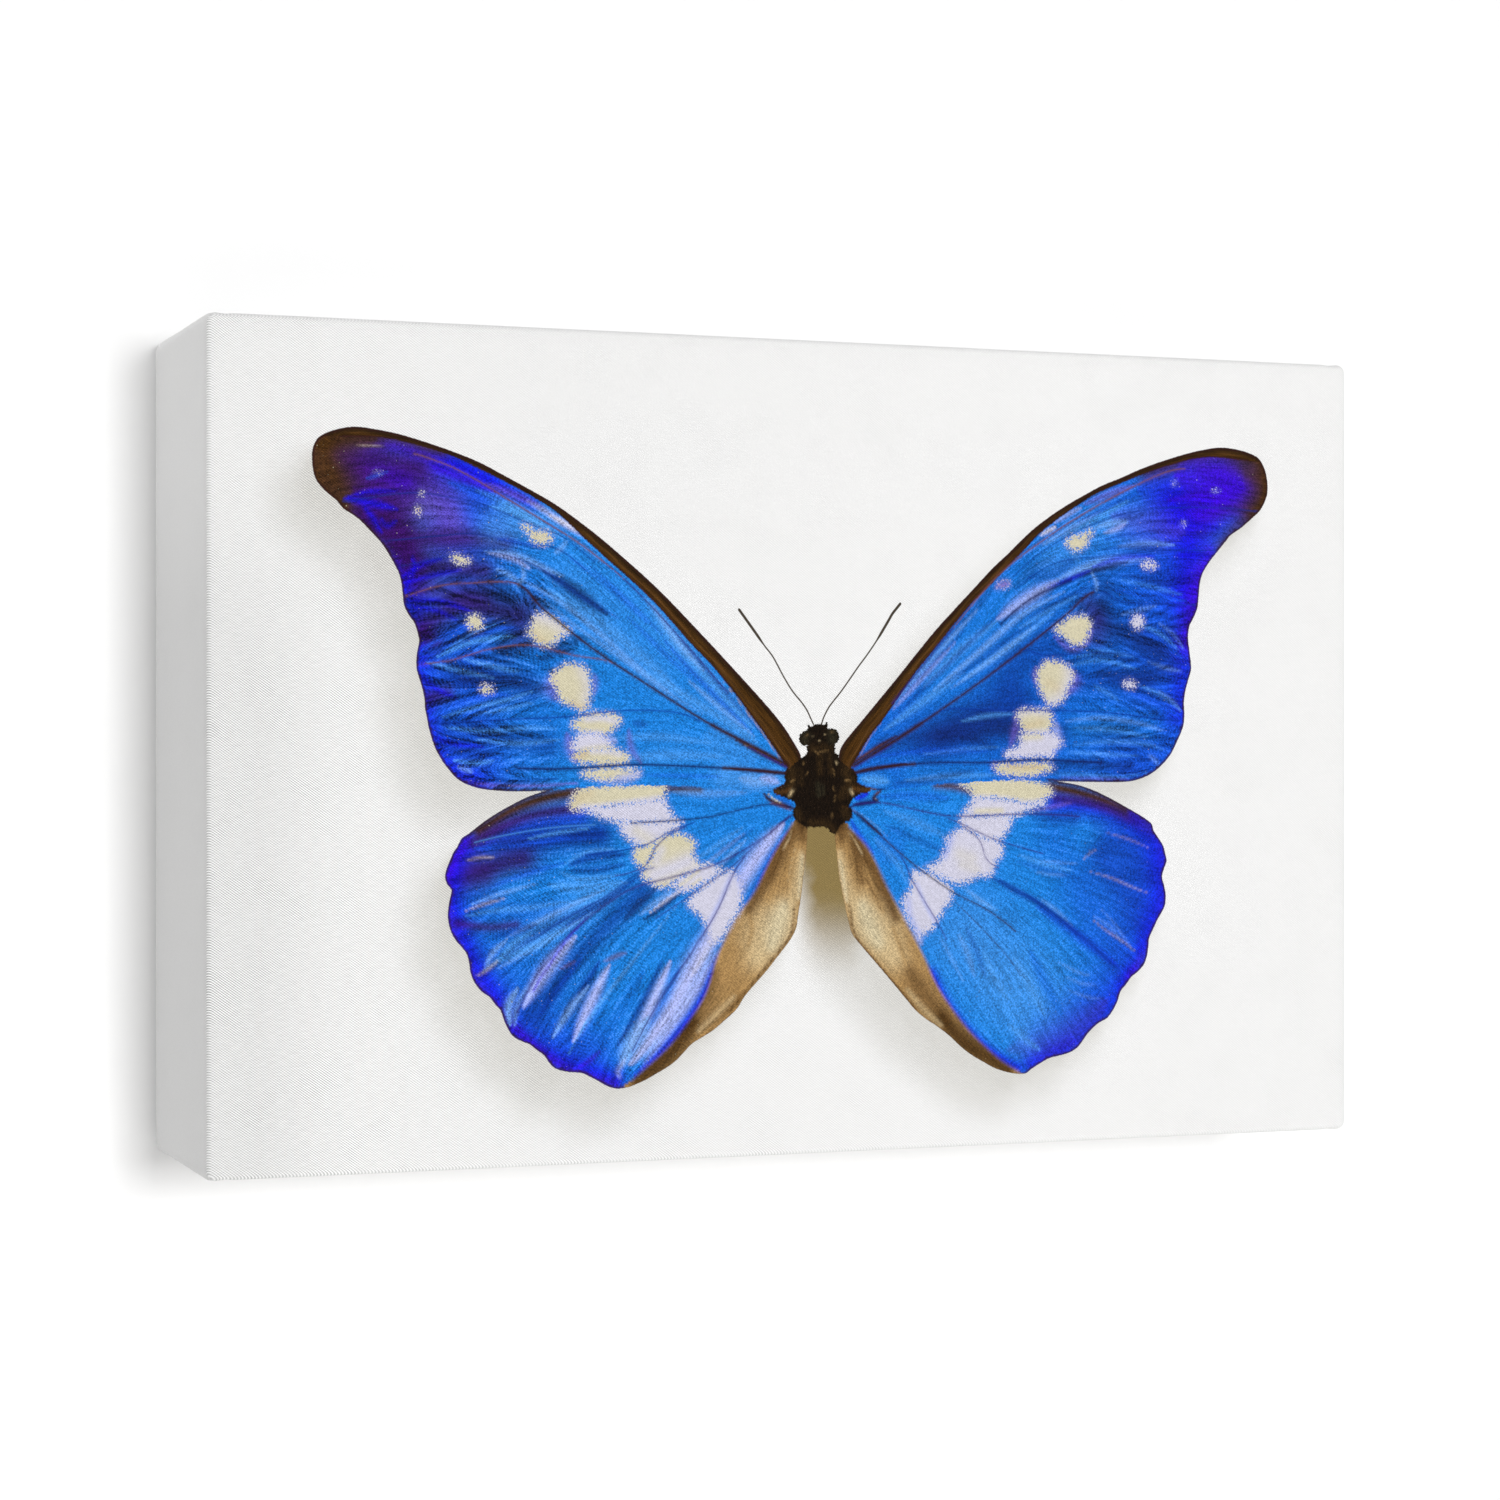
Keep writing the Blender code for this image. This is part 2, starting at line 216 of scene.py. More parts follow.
OUTLINE = {}
OUTLINE["left fore"] = (
    -2.6, -2, -3.6, 0.1, -7.4, 5.4, -15.5, 13.9, -24.9, 23.3, -31.1, 29.2, -37.4, 34.5, -43, 38.9, -50, 43.7,
    -55, 46.4, -60, 48.9, -65, 51.3, -70, 53.1, -75, 54.6, -80, 55.9, -84.3, 56.6, -87.5, 56.9, -90, 56.6,
    -92.4, 55.9, -94.3, 54.9, -95.2, 53.6, -95.6, 52, -95.5, 49.5, -94.9, 47.3, -93.3, 45.4, -91.1, 43.6,
    -90, 42.3, -87.7, 40.9, -86.4, 39.8, -84.9, 38.3, -83, 36.3, -81.4, 33.9, -80, 31.4, -79.4, 29.5,
    -79.1, 27, -78.8, 25.1, -77.9, 23.4, -76.9, 22, -76.3, 20.1, -76.1, 18.7, -76.5, 16.8, -76.6, 14.2,
    -76, 12, -75.4, 10, -75.1, 8.4, -75, 6.8, -74.6, 4.8, -74.3, 3.3, -73.4, 0.4, -72.3, -1.8, -70.8, -3.9,
    -68.6, -6.1, -65, -7.5, -60.6, -8, -55.6, -8.1, -50, -7.8, -43.9, -7.3, -37.2, -7.1, -31.1, -7.1,
    -25, -7.3, -19.4, -7.8, -15, -8.2, -10, -8.5, -6.5, -7.6, -4.4, -6.6, -2.6, -4.6)
OUTLINE["right fore"] = (
    4.9, -2.6, 5.8, 0.4, 10.5, 5.8, 16.8, 12.9, 21.1, 17.9, 25, 22.3, 29.3, 26.7, 33, 30.4, 36.8, 34.2,
    40, 37, 43, 39.8, 46.1, 42.4, 50, 45.1, 53, 46.9, 56.1, 48.6, 60, 50.6, 64.3, 52.3, 68, 53.9, 71.8, 55.3,
    75.5, 56.5, 79.3, 57.6, 82.4, 58.3, 85.5, 58.8, 88.6, 58.7, 91.8, 58.1, 94.3, 57.1, 95.6, 55.4,
    96.3, 53.3, 96.5, 50.8, 96.1, 49, 94.9, 46.8, 93, 45.1, 90.5, 43.1, 88.3, 41.7, 87.1, 40.4, 85.5, 38.6,
    83.6, 36.4, 82.1, 34.2, 81.4, 32, 81.1, 28.9, 80.8, 27, 79.9, 25.1, 79.1, 23.6, 78.8, 21.4, 79.1, 18.9,
    79.5, 15.4, 78.9, 13.3, 78.2, 10.8, 77.9, 8.6, 78, 6.4, 77.7, 3.9, 76.4, 1.1, 75.2, -1.1, 73.6, -3,
    71.1, -5, 68, -6.3, 64.7, -6.8, 59.1, -6.8, 53.6, -6.7, 48, -6.5, 42.4, -6.4, 36.9, -6.4, 31.3, -6.7,
    25.8, -7.1, 21.3, -7.5, 18, -7.9, 14.7, -8.2, 11.3, -8.1, 8.8, -7.2, 6, -6.4, 4.6, -5)
OUTLINE["left hind"] = (
    -3.4, -8.6, -8, -7.4, -25, -5.6, -45, -5.8, -52.8, -8.1, -56.1, -9.2, -60, -11.1, -63.1, -12.9,
    -65, -14.2, -66.7, -15.5, -68.1, -16.4, -68.7, -17.3, -69.1, -18.1, -69.7, -18.9, -70.3, -20.2,
    -71.1, -22.2, -71.3, -23.6, -70.8, -24.9, -70.1, -25.7, -70.3, -26.9, -70.6, -28.3, -70.8, -30.2,
    -70.6, -31.9, -70.1, -33.5, -69.2, -35, -68.1, -36.2, -67.2, -37.5, -66.8, -39.2, -66.6, -40.6,
    -66, -42.2, -65.1, -43.5, -64.2, -44.4, -63, -45.2, -61.9, -46.6, -61, -47.6, -60.4, -49.2, -59.7, -50.8,
    -58.6, -52.4, -56.9, -53.4, -55.6, -53.9, -54.2, -55, -52.8, -56, -51.7, -57.5, -50.6, -58.5,
    -48.3, -59.2, -45.6, -59.5, -43.9, -60.3, -42.2, -61.2, -40.6, -62.1, -38.9, -62.6, -37.2, -62.5,
    -35.6, -62.1, -33.1, -61.1, -30.6, -59.8, -28.9, -58.9, -27.2, -57.7, -25.6, -56.1, -24.2, -54.8,
    -22.8, -54, -20.3, -52.6, -18.3, -51.1, -16.1, -49.3, -15, -48.1, -13.9, -46.4, -11.7, -44, -9.4, -41.6,
    -7.2, -39, -5.2, -36.6, -4.2, -35.2, -3.5, -33.6, -3.2, -31.6, -2.6, -28, -2.1, -24, -1.6, -20,
    -1.3, -15.5, -1.2, -12)
OUTLINE["right hind"] = (
    5.6, -8.4, 11, -6.8, 30, -5.2, 46, -5.6, 51.1, -6.7, 54.7, -7.3, 58, -8.3, 61.3, -9.7, 64.7, -11.4,
    67.4, -12.8, 69.7, -14.1, 70.9, -15.1, 71.2, -16.2, 71.9, -17.2, 73.3, -19.2, 73.8, -20.8, 74.1, -22.2,
    73.6, -23.6, 73.1, -25.3, 73.6, -27.2, 73.9, -28.9, 73.8, -30.6, 73.2, -32, 72.2, -33.5, 71.1, -35.6,
    70.3, -37.2, 70.1, -38.9, 69.8, -40.7, 69.1, -42.4, 67.7, -43.8, 66.4, -44.7, 65.3, -46.1, 64.1, -47.4,
    63.4, -49.3, 62.4, -51.1, 61.1, -52.6, 59.6, -53.3, 58.3, -54.2, 56.9, -55.5, 55.8, -56.9, 54.7, -58.1,
    53, -59, 50.8, -59.5, 48.8, -59.9, 46.9, -60.8, 44.9, -61.9, 43.6, -62.7, 41.3, -62.6, 39.1, -62.1,
    36.9, -61.3, 34.7, -60.1, 32.4, -58.8, 30.2, -57.2, 28, -55.2, 25.2, -53.1, 23, -51.7, 20.8, -50,
    19.1, -48.1, 16.9, -45.6, 14.7, -43.1, 11.9, -40, 9.1, -36.9, 7.6, -34.9, 6.7, -31.7, 5.9, -28.3,
    5.1, -24.4, 4.6, -20, 4.1, -15.5, 4, -12)

# Veins run from the wing's root to its edge, listed from the front edge backwards
VEINS = {}
VEINS["left fore"] = [
    (-5, -1, -24.9, 21.5, -50, 43.2, -70, 52.8, -90, 56), (-5, -2, -14.3, 7, -24.9, 18.3, -35.5, 29,
    -44.9, 36.3, -53, 41.1, -59.3, 44.6, -66.1, 48.4, -72.4, 51.1, -80, 52.6, -95, 51), (-5, -2.2, -20, 11,
    -35.5, 27, -47.4, 37, -54, 39.8, -64.3, 43.6, -70.5, 44.8, -78, 45.4, -90, 43.5), (-5.2, -2.4, -22, 11,
    -38, 26, -49, 35.4, -55.5, 36.6, -65.5, 38.3, -71.8, 37.9, -83, 36.6), (-5.3, -2.8, -22, 8, -40.5, 24.6,
    -49.9, 30.6, -57, 33.8, -63, 35.2, -70, 34.4, -80.4, 32), (-5.5, -3.3, -13, 0.4, -21.8, 4.8, -32.4, 11.1,
    -43, 17.6, -53, 25.1, -58, 29.5, -67.4, 29.4, -72.5, 28.8, -79, 26.8), (-5.5, -3.5, -13, 0.2, -21.8, 4.6,
    -32.4, 10.9, -39.9, 15.4, -46.8, 16.6, -55.5, 18.4, -63, 17.6, -70, 15.6, -76.5, 14.6), (-5.5, -3.7,
    -13, 0, -21.8, 4.4, -28, 6.4, -38, 6.6, -49.3, 5.4, -62.4, 4.8, -74.5, 4), (-5.5, -4.9, -13.9, -4.2,
    -25, -3.6, -36.1, -3.3, -48.3, -4, -60, -3.9, -70.8, -3.9), (-5.5, -6.6, -10, -8.4, -25, -7.3,
    -43.9, -7.3, -60.6, -8, -68.6, -6.1)]
VEINS["right fore"] = [
    (6, -1, 25, 20.5, 46.1, 41.6, 68, 53.2, 90, 57.5), (6.5, -2, 14, 6, 28, 22, 38, 32.9, 48, 40.1,
    56.1, 45.1, 66.8, 50.6, 76.1, 54.2, 84, 53.8, 96, 51.5), (6.7, -2.3, 20, 11, 35.5, 27, 45, 36, 54.3, 41.4,
    60.5, 43.9, 66.8, 45.6, 74.9, 46.7, 85.5, 47, 95, 46.4), (6.8, -2.5, 22, 11, 38, 27, 49, 35, 60.5, 37,
    66.8, 37.6, 73, 38.3, 85.5, 38.6), (7, -2.8, 24, 10, 42, 26.5, 52.4, 31.7, 59.9, 34.8, 69.9, 35.6,
    76.1, 36.1, 82.4, 35.6), (8, -3.6, 16.8, 1.4, 25, 6.4, 35.5, 13.3, 44.3, 19.5, 51.8, 25.1, 58.6, 30.1,
    64.3, 28.2, 69.9, 27.9, 80.9, 27.8), (8, -3.8, 16.8, 1.2, 25, 6.2, 35.5, 13.1, 43, 18.4, 48, 17.6,
    60.5, 18.3, 70, 17.3, 79.3, 15.8), (8, -4, 16.8, 1, 26, 6.8, 35.5, 7, 48, 7, 60.5, 6.7, 73, 5.4,
    77.9, 5.1), (8, -4.9, 13, -3.9, 25, -3, 35.5, -3, 46, -2.5, 60.5, -3, 73.6, -3), (8, -6.4, 14.7, -8.2,
    31.3, -6.7, 48, -6.5, 64.7, -6.8, 71, -5.2)]
VEINS["left hind"] = [
    (-4.5, -8.8, -25, -7.4, -53, -8.1, -63.1, -12.9, -69, -18), (-4.5, -11.3, -10, -10.8, -20, -12.8,
    -25, -13.4, -36.1, -14, -50, -14.6, -60, -16, -69, -18), (-4.5, -11.5, -10, -11, -20, -13, -27.8, -15.3,
    -34.4, -18.3, -47.2, -20, -58, -20.3, -70.6, -21), (-4.5, -11.7, -10, -11.2, -20, -13.2, -27.6, -15.6,
    -31.1, -18.3, -33.9, -22.2, -41.7, -24, -52.8, -24.4, -63.9, -28, -70.7, -30.4), (-4.6, -12.2, -14, -17,
    -25, -21.2, -33.9, -22.8, -40.6, -27.2, -48.3, -31.1, -58.3, -36.9, -66.6, -41.2), (-4.7, -12.8,
    -10.6, -17.2, -19.4, -21.7, -28, -24, -36.1, -26.1, -43.9, -30.9, -50, -36.3, -55.6, -43.9, -59.6, -51.4),
    (-4.7, -13, -10.6, -17.4, -16.5, -22.3, -25, -27.7, -34.4, -33.9, -42.5, -42.5, -48.8, -51.8,
    -52.4, -56.4), (-4.7, -13.2, -10.6, -17.6, -15.4, -22.4, -19.4, -30.6, -25, -38.9, -31.6, -48.3,
    -38.9, -61.5), (-4.4, -14.2, -8.3, -20, -12.2, -27.2, -16.1, -32.2, -19.4, -38.9, -21.7, -45.6,
    -25, -50.6, -29.4, -55.6, -36.1, -61.1), (-3.6, -14.2, -5.5, -22, -6.5, -30, -8, -38, -14, -46,
    -24, -54.6)]
VEINS["right hind"] = [
    (7, -8.8, 30, -6.8, 51.1, -6.7, 64.7, -11.4, 71.2, -16.2), (8, -10.8, 14.1, -10.6, 23.6, -12.5, 30, -13.2,
    45.2, -12.9, 58, -13.8, 71.2, -16.4), (8, -11, 14.1, -10.8, 23.6, -12.7, 29.1, -14.2, 38, -17.9,
    53.6, -22.2, 60, -24.4, 73.4, -28), (8, -11.2, 14.1, -11, 23.6, -12.9, 29.1, -14.5, 33.8, -17.6,
    36.3, -22.2, 44, -25.5, 56, -32.4, 70, -40.4), (8.4, -12, 17.4, -18, 28, -23, 36.3, -24.7, 46.9, -30.2,
    56.3, -37.2, 66, -45.2), (8.6, -12.2, 17.4, -20, 26.9, -26.7, 36.9, -31.9, 44, -37.6, 52, -46, 58.6, -54),
    (8.6, -12.4, 17.4, -20.2, 24, -25.4, 31, -31.4, 39.7, -40, 46, -48.6, 51.5, -59.3), (8.6, -12.6,
    17.4, -20.4, 20.2, -25.6, 25.2, -33.3, 30, -41.5, 36.5, -51, 43.4, -62.4), (7.2, -15, 11.3, -19.4,
    15.2, -26.7, 18.8, -32.8, 22.4, -39.4, 25.8, -46.1, 31.3, -53.3, 37.4, -58.9, 42.4, -62.2), (5.6, -15,
    7.4, -24, 8.6, -32, 13, -38.5, 21, -47.4, 32.4, -58.8)]

# Each vein's look: its place in the list above, colour, strength, width, and the stretch that shows
VEIN_INK = {}
VEIN_INK["left fore"] = [
    (5, "bark", 0.95, 0.42, 0, 0.74), (8, "night", 0.9, 0.42, 0, 0.8), (7, "deep", 0.7, 0.3, 0.27, 1),
    (6, "rust", 0.7, 0.26, 0.5, 1), (5, "rust", 0.75, 0.26, 0.74, 1), (3, "deep", 0.6, 0.26, 0.56, 1),
    (2, "deep", 0.6, 0.25, 0.5, 1), (1, "rust", 0.85, 0.28, 0.42, 0.84), (1, "dusk", 0.8, 0.3, 0.16, 0.46),
    (4, "deep", 0.45, 0.26, 0.66, 1), (5, "bark", 1, 0.7, 0, 0.2), (8, "bark", 1, 0.6, 0, 0.2),
    (7, "dusk", 0.8, 0.4, 0, 0.12)]
VEIN_INK["right fore"] = [
    (5, "bark", 0.95, 0.42, 0, 0.72), (8, "night", 0.85, 0.4, 0, 0.8), (7, "deep", 0.7, 0.3, 0.27, 1),
    (6, "deep", 0.7, 0.26, 0.46, 1), (5, "deep", 0.6, 0.26, 0.74, 1), (3, "deep", 0.6, 0.26, 0.5, 1),
    (2, "deep", 0.55, 0.25, 0.45, 1), (1, "rust", 0.85, 0.28, 0.3, 0.84), (1, "dusk", 0.8, 0.3, 0.13, 0.34),
    (4, "night", 0.9, 0.45, 0.45, 0.66), (5, "bark", 1, 0.7, 0, 0.2), (8, "bark", 1, 0.6, 0, 0.2),
    (7, "dusk", 0.8, 0.4, 0, 0.12)]
VEIN_INK["left hind"] = [
    (1, "night", 0.8, 0.3, 0, 0.5), (2, "deep", 0.7, 0.26, 0.3, 0.62), (3, "dusk", 0.7, 0.26, 0.3, 0.55),
    (5, "dusk", 0.7, 0.36, 0, 0.95), (6, "dusk", 0.6, 0.28, 0.12, 0.5), (7, "dusk", 0.75, 0.3, 0.2, 0.9),
    (4, "deep", 0.6, 0.34, 0.42, 0.9), (1, "sky", 0.5, 0.25, 0.6, 0.95)]
VEIN_INK["right hind"] = [
    (1, "dusk", 0.75, 0.3, 0, 0.75), (2, "dusk", 0.7, 0.26, 0.3, 0.6), (3, "dusk", 0.65, 0.26, 0.33, 0.5),
    (5, "bark", 0.75, 0.3, 0, 0.62), (6, "bark", 0.5, 0.22, 0.42, 0.72), (7, "dusk", 0.65, 0.26, 0.2, 0.5),
    (4, "deep", 0.65, 0.5, 0.5, 0.95)]

INKS = {
    "azure": (26, 130, 224), "blue": (16, 104, 214), "sky": (84, 160, 240), "ice": (128, 178, 246),
    "lavender": (176, 186, 244), "royal": (20, 80, 214), "deep": (8, 48, 148), "night": (16, 22, 84),
    "dusk": (46, 34, 120), "ultra": (22, 14, 222), "violet": (58, 8, 214), "plum": (54, 14, 96),
    "mauve": (118, 92, 190), "cream": (218, 210, 178), "snow": (214, 212, 230), "sand": (208, 184, 140),
    "tan": (170, 134, 84), "umber": (88, 58, 26), "earth": (50, 35, 16), "olive": (42, 38, 26),
    "brown": (70, 44, 12), "bark": (52, 26, 24), "soot": (23, 14, 6),
    "rust": (122, 78, 78), "grape": (66, 18, 118), "iris": (70, 58, 192),
}

# Broad tones first, then folds and streaks: colour, strength, width, and the points that it runs through
TONES = {}
TONES["left fore"] = [
    ("royal", 0.85, 8, (-67, 42, -68, 24, -67, 8, -64, -4)), ("blue", 0.5, 6, (-55, 28, -53, 12, -53, 0)),
    ("iris", 0.9, 5, (-74, 48, -71, 43, -71, 39)), ("grape", 1, 6.5, (-94, 50, -86, 49, -79, 48)),
    ("grape", 1, 5, (-86, 42, -80, 38, -78, 31)), ("violet", 0.9, 2, (-86, 54, -80, 53.8, -73, 51.6)),
    ("violet", 0.6, 2.6, (-84, 49, -79, 47)), ("ultra", 0.7, 3.4, (-70, 51, -64, 48)),
    ("ultra", 0.85, 3.4, (-80, 31, -77.5, 26, -76, 19, -75.6, 12, -74.5, 4, -71.5, -3, -66, -7)),
    ("grape", 0.75, 4, (-91, 51, -86, 48, -83, 43)), ("plum", 0.9, 2.6, (-92, 52, -90.4, 49, -88, 45)),
    ("brown", 0.9, 3.4, (-93.6, 54, -92.4, 49, -90, 44)), ("brown", 0.7, 2, (-92, 55, -84, 54.4)),
    ("plum", 0.7, 2, (-90, 52.2, -82, 51.4, -76, 50)), ("grape", 0.6, 3, (-82, 43, -78, 43)),
    ("ultra", 0.9, 1.6, (-72, 51.4, -66, 49.4, -60, 46.6, -55, 44)), ("plum", 0.9, 3, (-86, 40.5, -81, 37,
    -78, 33.6)), ("plum", 0.8, 2, (-80, 37, -73, 37.4, -66, 37.4, -60, 37)), ("plum", 0.75, 2.4, (-77, 32,
    -70, 32.2, -64, 31.6)), ("plum", 0.6, 2.2, (-76, 28, -70, 27.4, -64, 27)), ("plum", 0.8, 2.8, (-75, 21.5,
    -69, 25.4, -63, 24.8, -58, 24)), ("night", 0.6, 3, (-61, 28, -58, 22, -60, 17.4)),
    ("dusk", 0.5, 2.4, (-57, 20, -55.6, 23, -55, 26)), ("plum", 0.7, 1.6, (-75.4, 20.5, -73, 18.6)),
    ("deep", 0.6, 2.6, (-72, 12, -64, 13.5, -56, 12)), ("plum", 0.7, 1.6, (-74, 8.8, -71, 9.6)),
    ("night", 0.6, 1.4, (-68, 11.6, -60, 11.6, -54, 10.4)), ("deep", 0.55, 2.4, (-70, 2, -60, 1.5, -52, 0)),
    ("night", 0.5, 1.2, (-69, -0.6, -64, -1.6)), ("mauve", 0.35, 3, (-74, 43, -70, 41.5)),
    ("royal", 0.6, 2.6, (-66, 43, -62, 40.5)), ("sky", 0.45, 3, (-62, 40, -56, 40.8)),
    ("sky", 0.35, 5, (-46, 30, -36, 24, -28, 18)), ("azure", 0.6, 6, (-44, 33, -34, 20, -24, 10)),
    ("sky", 0.5, 2.4, (-18, -5.4, -12, -6.2, -8, -6.2)), ("brown", 1, 5.4, (-97.6, 56, -97.4, 51, -95, 46)),
    ("brown", 1, 2, (-95, 56.6, -88, 56.8, -80, 55.8, -72, 53.8)), ("umber", 0.4, 3, (-95, 53, -93.6, 49)),
    ("brown", 0.9, 1.2, (-93, 44.8, -89.6, 42.4))]
TONES["right fore"] = [
    ("royal", 0.75, 8.5, (72, 42, 72, 24, 71, 8, 67, -4)), ("azure", 0.6, 7, (58, 43, 48, 36, 38, 26,
    26, 14)), ("sky", 0.25, 4, (66, 43, 58, 42, 50, 36)), ("violet", 1, 7, (94, 52, 86, 49, 81, 47)),
    ("ultra", 0.9, 5, (76, 48, 79, 40, 78.5, 31)), ("ultra", 0.75, 3.4, (79, 30, 78, 21, 77.8, 13, 77, 6)),
    ("violet", 0.8, 1.8, (83.6, 38, 81.4, 32, 80.4, 26, 78.6, 21)), ("plum", 0.7, 1.7, (95, 52.6, 89, 54,
    82, 54.4)), ("plum", 0.6, 1.5, (94, 46.6, 90, 47, 85, 46.4)), ("violet", 0.8, 4, (86, 52, 82, 46)),
    ("grape", 0.7, 2.6, (95, 52, 92.4, 47.6)), ("brown", 1, 4.8, (99, 58, 99, 51, 96.4, 46)),
    ("earth", 0.9, 2.4, (92, 59, 99.4, 55, 98.6, 49, 95, 46)), ("royal", 0.7, 3, (76, 1, 72, -4, 66, -6)),
    ("violet", 0.5, 3, (82, 34, 80.5, 28, 79, 20)), ("deep", 0.75, 5, (24, 0, 34, 5, 42, 8)),
    ("night", 0.5, 3, (26, 3, 34, 5.5, 42, 3.2)), ("night", 0.45, 1.8, (14, 0, 22, 2, 32, 2.5, 40, 3.4)),
    ("deep", 0.55, 4.2, (40, 12, 42, 16, 50, 19.5)), ("night", 0.65, 3, (60, 24.4, 66, 21.6, 73, 19)),
    ("night", 0.5, 2.6, (61, 31, 60, 27)), ("plum", 0.5, 2.4, (57, 27.5, 58.5, 24.5, 59, 21)),
    ("deep", 0.6, 2.6, (56, 13, 64, 13, 70, 12)), ("night", 0.4, 1.6, (60, 14.5, 68, 13.4, 76, 15.5)),
    ("deep", 0.6, 2, (52, 3.2, 60, 2.4, 70, 1.4)), ("night", 0.45, 1.4, (50, -3.6, 58, -3.4, 66, -3.8)),
    ("azure", 0.7, 2, (9.5, -6.4, 14, -6.6)), ("azure", 0.5, 2.6, (20, -5, 34, -5)),
    ("azure", 0.5, 3, (55, 3.5, 62, 4.5, 70, 4)), ("brown", 1, 3, (96.5, 57, 96.6, 51, 95.4, 46.4)),
    ("brown", 1, 2.6, (96, 57, 91, 57.8, 86, 58, 78, 56.6, 70, 54.4)), ("brown", 0.7, 2.6, (94, 54,
    89, 55.6)), ("brown", 0.6, 1.4, (92.5, 45.5, 89.5, 43.2, 86, 39.6))]
TONES["left hind"] = [
    ("blue", 0.7, 8, (-58, -20, -58, -32, -54, -44, -44, -54)), ("royal", 0.85, 5, (-68, -20, -68, -34,
    -62, -44, -55, -51, -44, -57)), ("ultra", 0.6, 2.4, (-67, -19, -60, -15.6, -52, -13.8, -46, -12.8)),
    ("deep", 0.95, 2.8, (-60, -17.8, -50, -16.6, -42, -16)), ("dusk", 1, 3, (-69.6, -22.6, -63, -21.8,
    -57, -20.6)), ("plum", 0.5, 2, (-70, -24.4, -64, -23.6)), ("azure", 0.8, 3, (-58, -26, -48, -26.4,
    -38, -25.6)), ("blue", 0.6, 2.4, (-66, -30, -58, -30.4, -50, -30)), ("azure", 0.5, 4.2, (-38, -30,
    -30, -38, -28, -44)), ("deep", 0.7, 2.4, (-34, -26.4, -40, -32, -46, -38)), ("deep", 0.6, 2.2, (-48, -40,
    -52, -45, -55, -49)), ("ultra", 0.85, 2.2, (-68, -17, -70, -23, -69.6, -30, -66, -39, -62, -45, -59, -51,
    -52, -56, -46, -58.6, -39, -61)), ("violet", 0.7, 1, (-67, -16.4, -71, -24, -70.2, -33, -66, -42,
    -61, -48, -55, -54, -48, -59, -39, -62)), ("plum", 0.75, 0.9, (-69, -31.8, -63, -32.6, -58, -32.2)),
    ("brown", 1, 1.5, (-46.5, -8.2, -53, -9.4, -59, -11.6, -65, -15.2)), ("plum", 0.85, 1.2, (-46.6, -11.2,
    -54, -12.2, -60, -14.2, -66, -17.4)), ("brown", 0.9, 0.7, (-29.4, -7.7, -26, -7.8, -22.6, -8))]
TONES["right hind"] = [
    ("sky", 0.4, 8, (32, -36, 42, -44, 49, -52)), ("blue", 0.7, 5, (50, -18, 56, -27, 58, -36)),
    ("royal", 0.85, 6, (66, -17, 70, -29, 65, -41, 58, -50, 50, -58)), ("deep", 0.6, 3.2, (60, -21, 64, -27,
    68, -34)), ("ultra", 0.8, 2.6, (50, -10.8, 58, -11.6, 65, -13.8, 70.6, -18, 72.4, -24)),
    ("ultra", 0.85, 2.4, (72.6, -22, 72.4, -30, 69.6, -38, 66, -44, 61, -51, 54, -57, 45, -61)),
    ("violet", 0.7, 1, (66, -12.8, 71.6, -17, 73.4, -23, 73.2, -30, 70.4, -38, 66, -45)),
    ("ultra", 0.85, 1.2, (24, -43, 27, -48.6, 31, -53.6, 36, -58, 42, -61.6)), ("deep", 0.5, 1.4, (46, -12.8,
    54, -14)), ("brown", 1, 1.3, (49, -7.6, 55, -8.8, 61, -10.6, 67, -13.4, 70.6, -15.8)),
    ("plum", 0.75, 1, (50, -9.8, 57, -10.8, 63, -12.6, 68, -15)), ("umber", 0.85, 0.8, (25, -7.2, 29, -7.6,
    32, -8.4))]

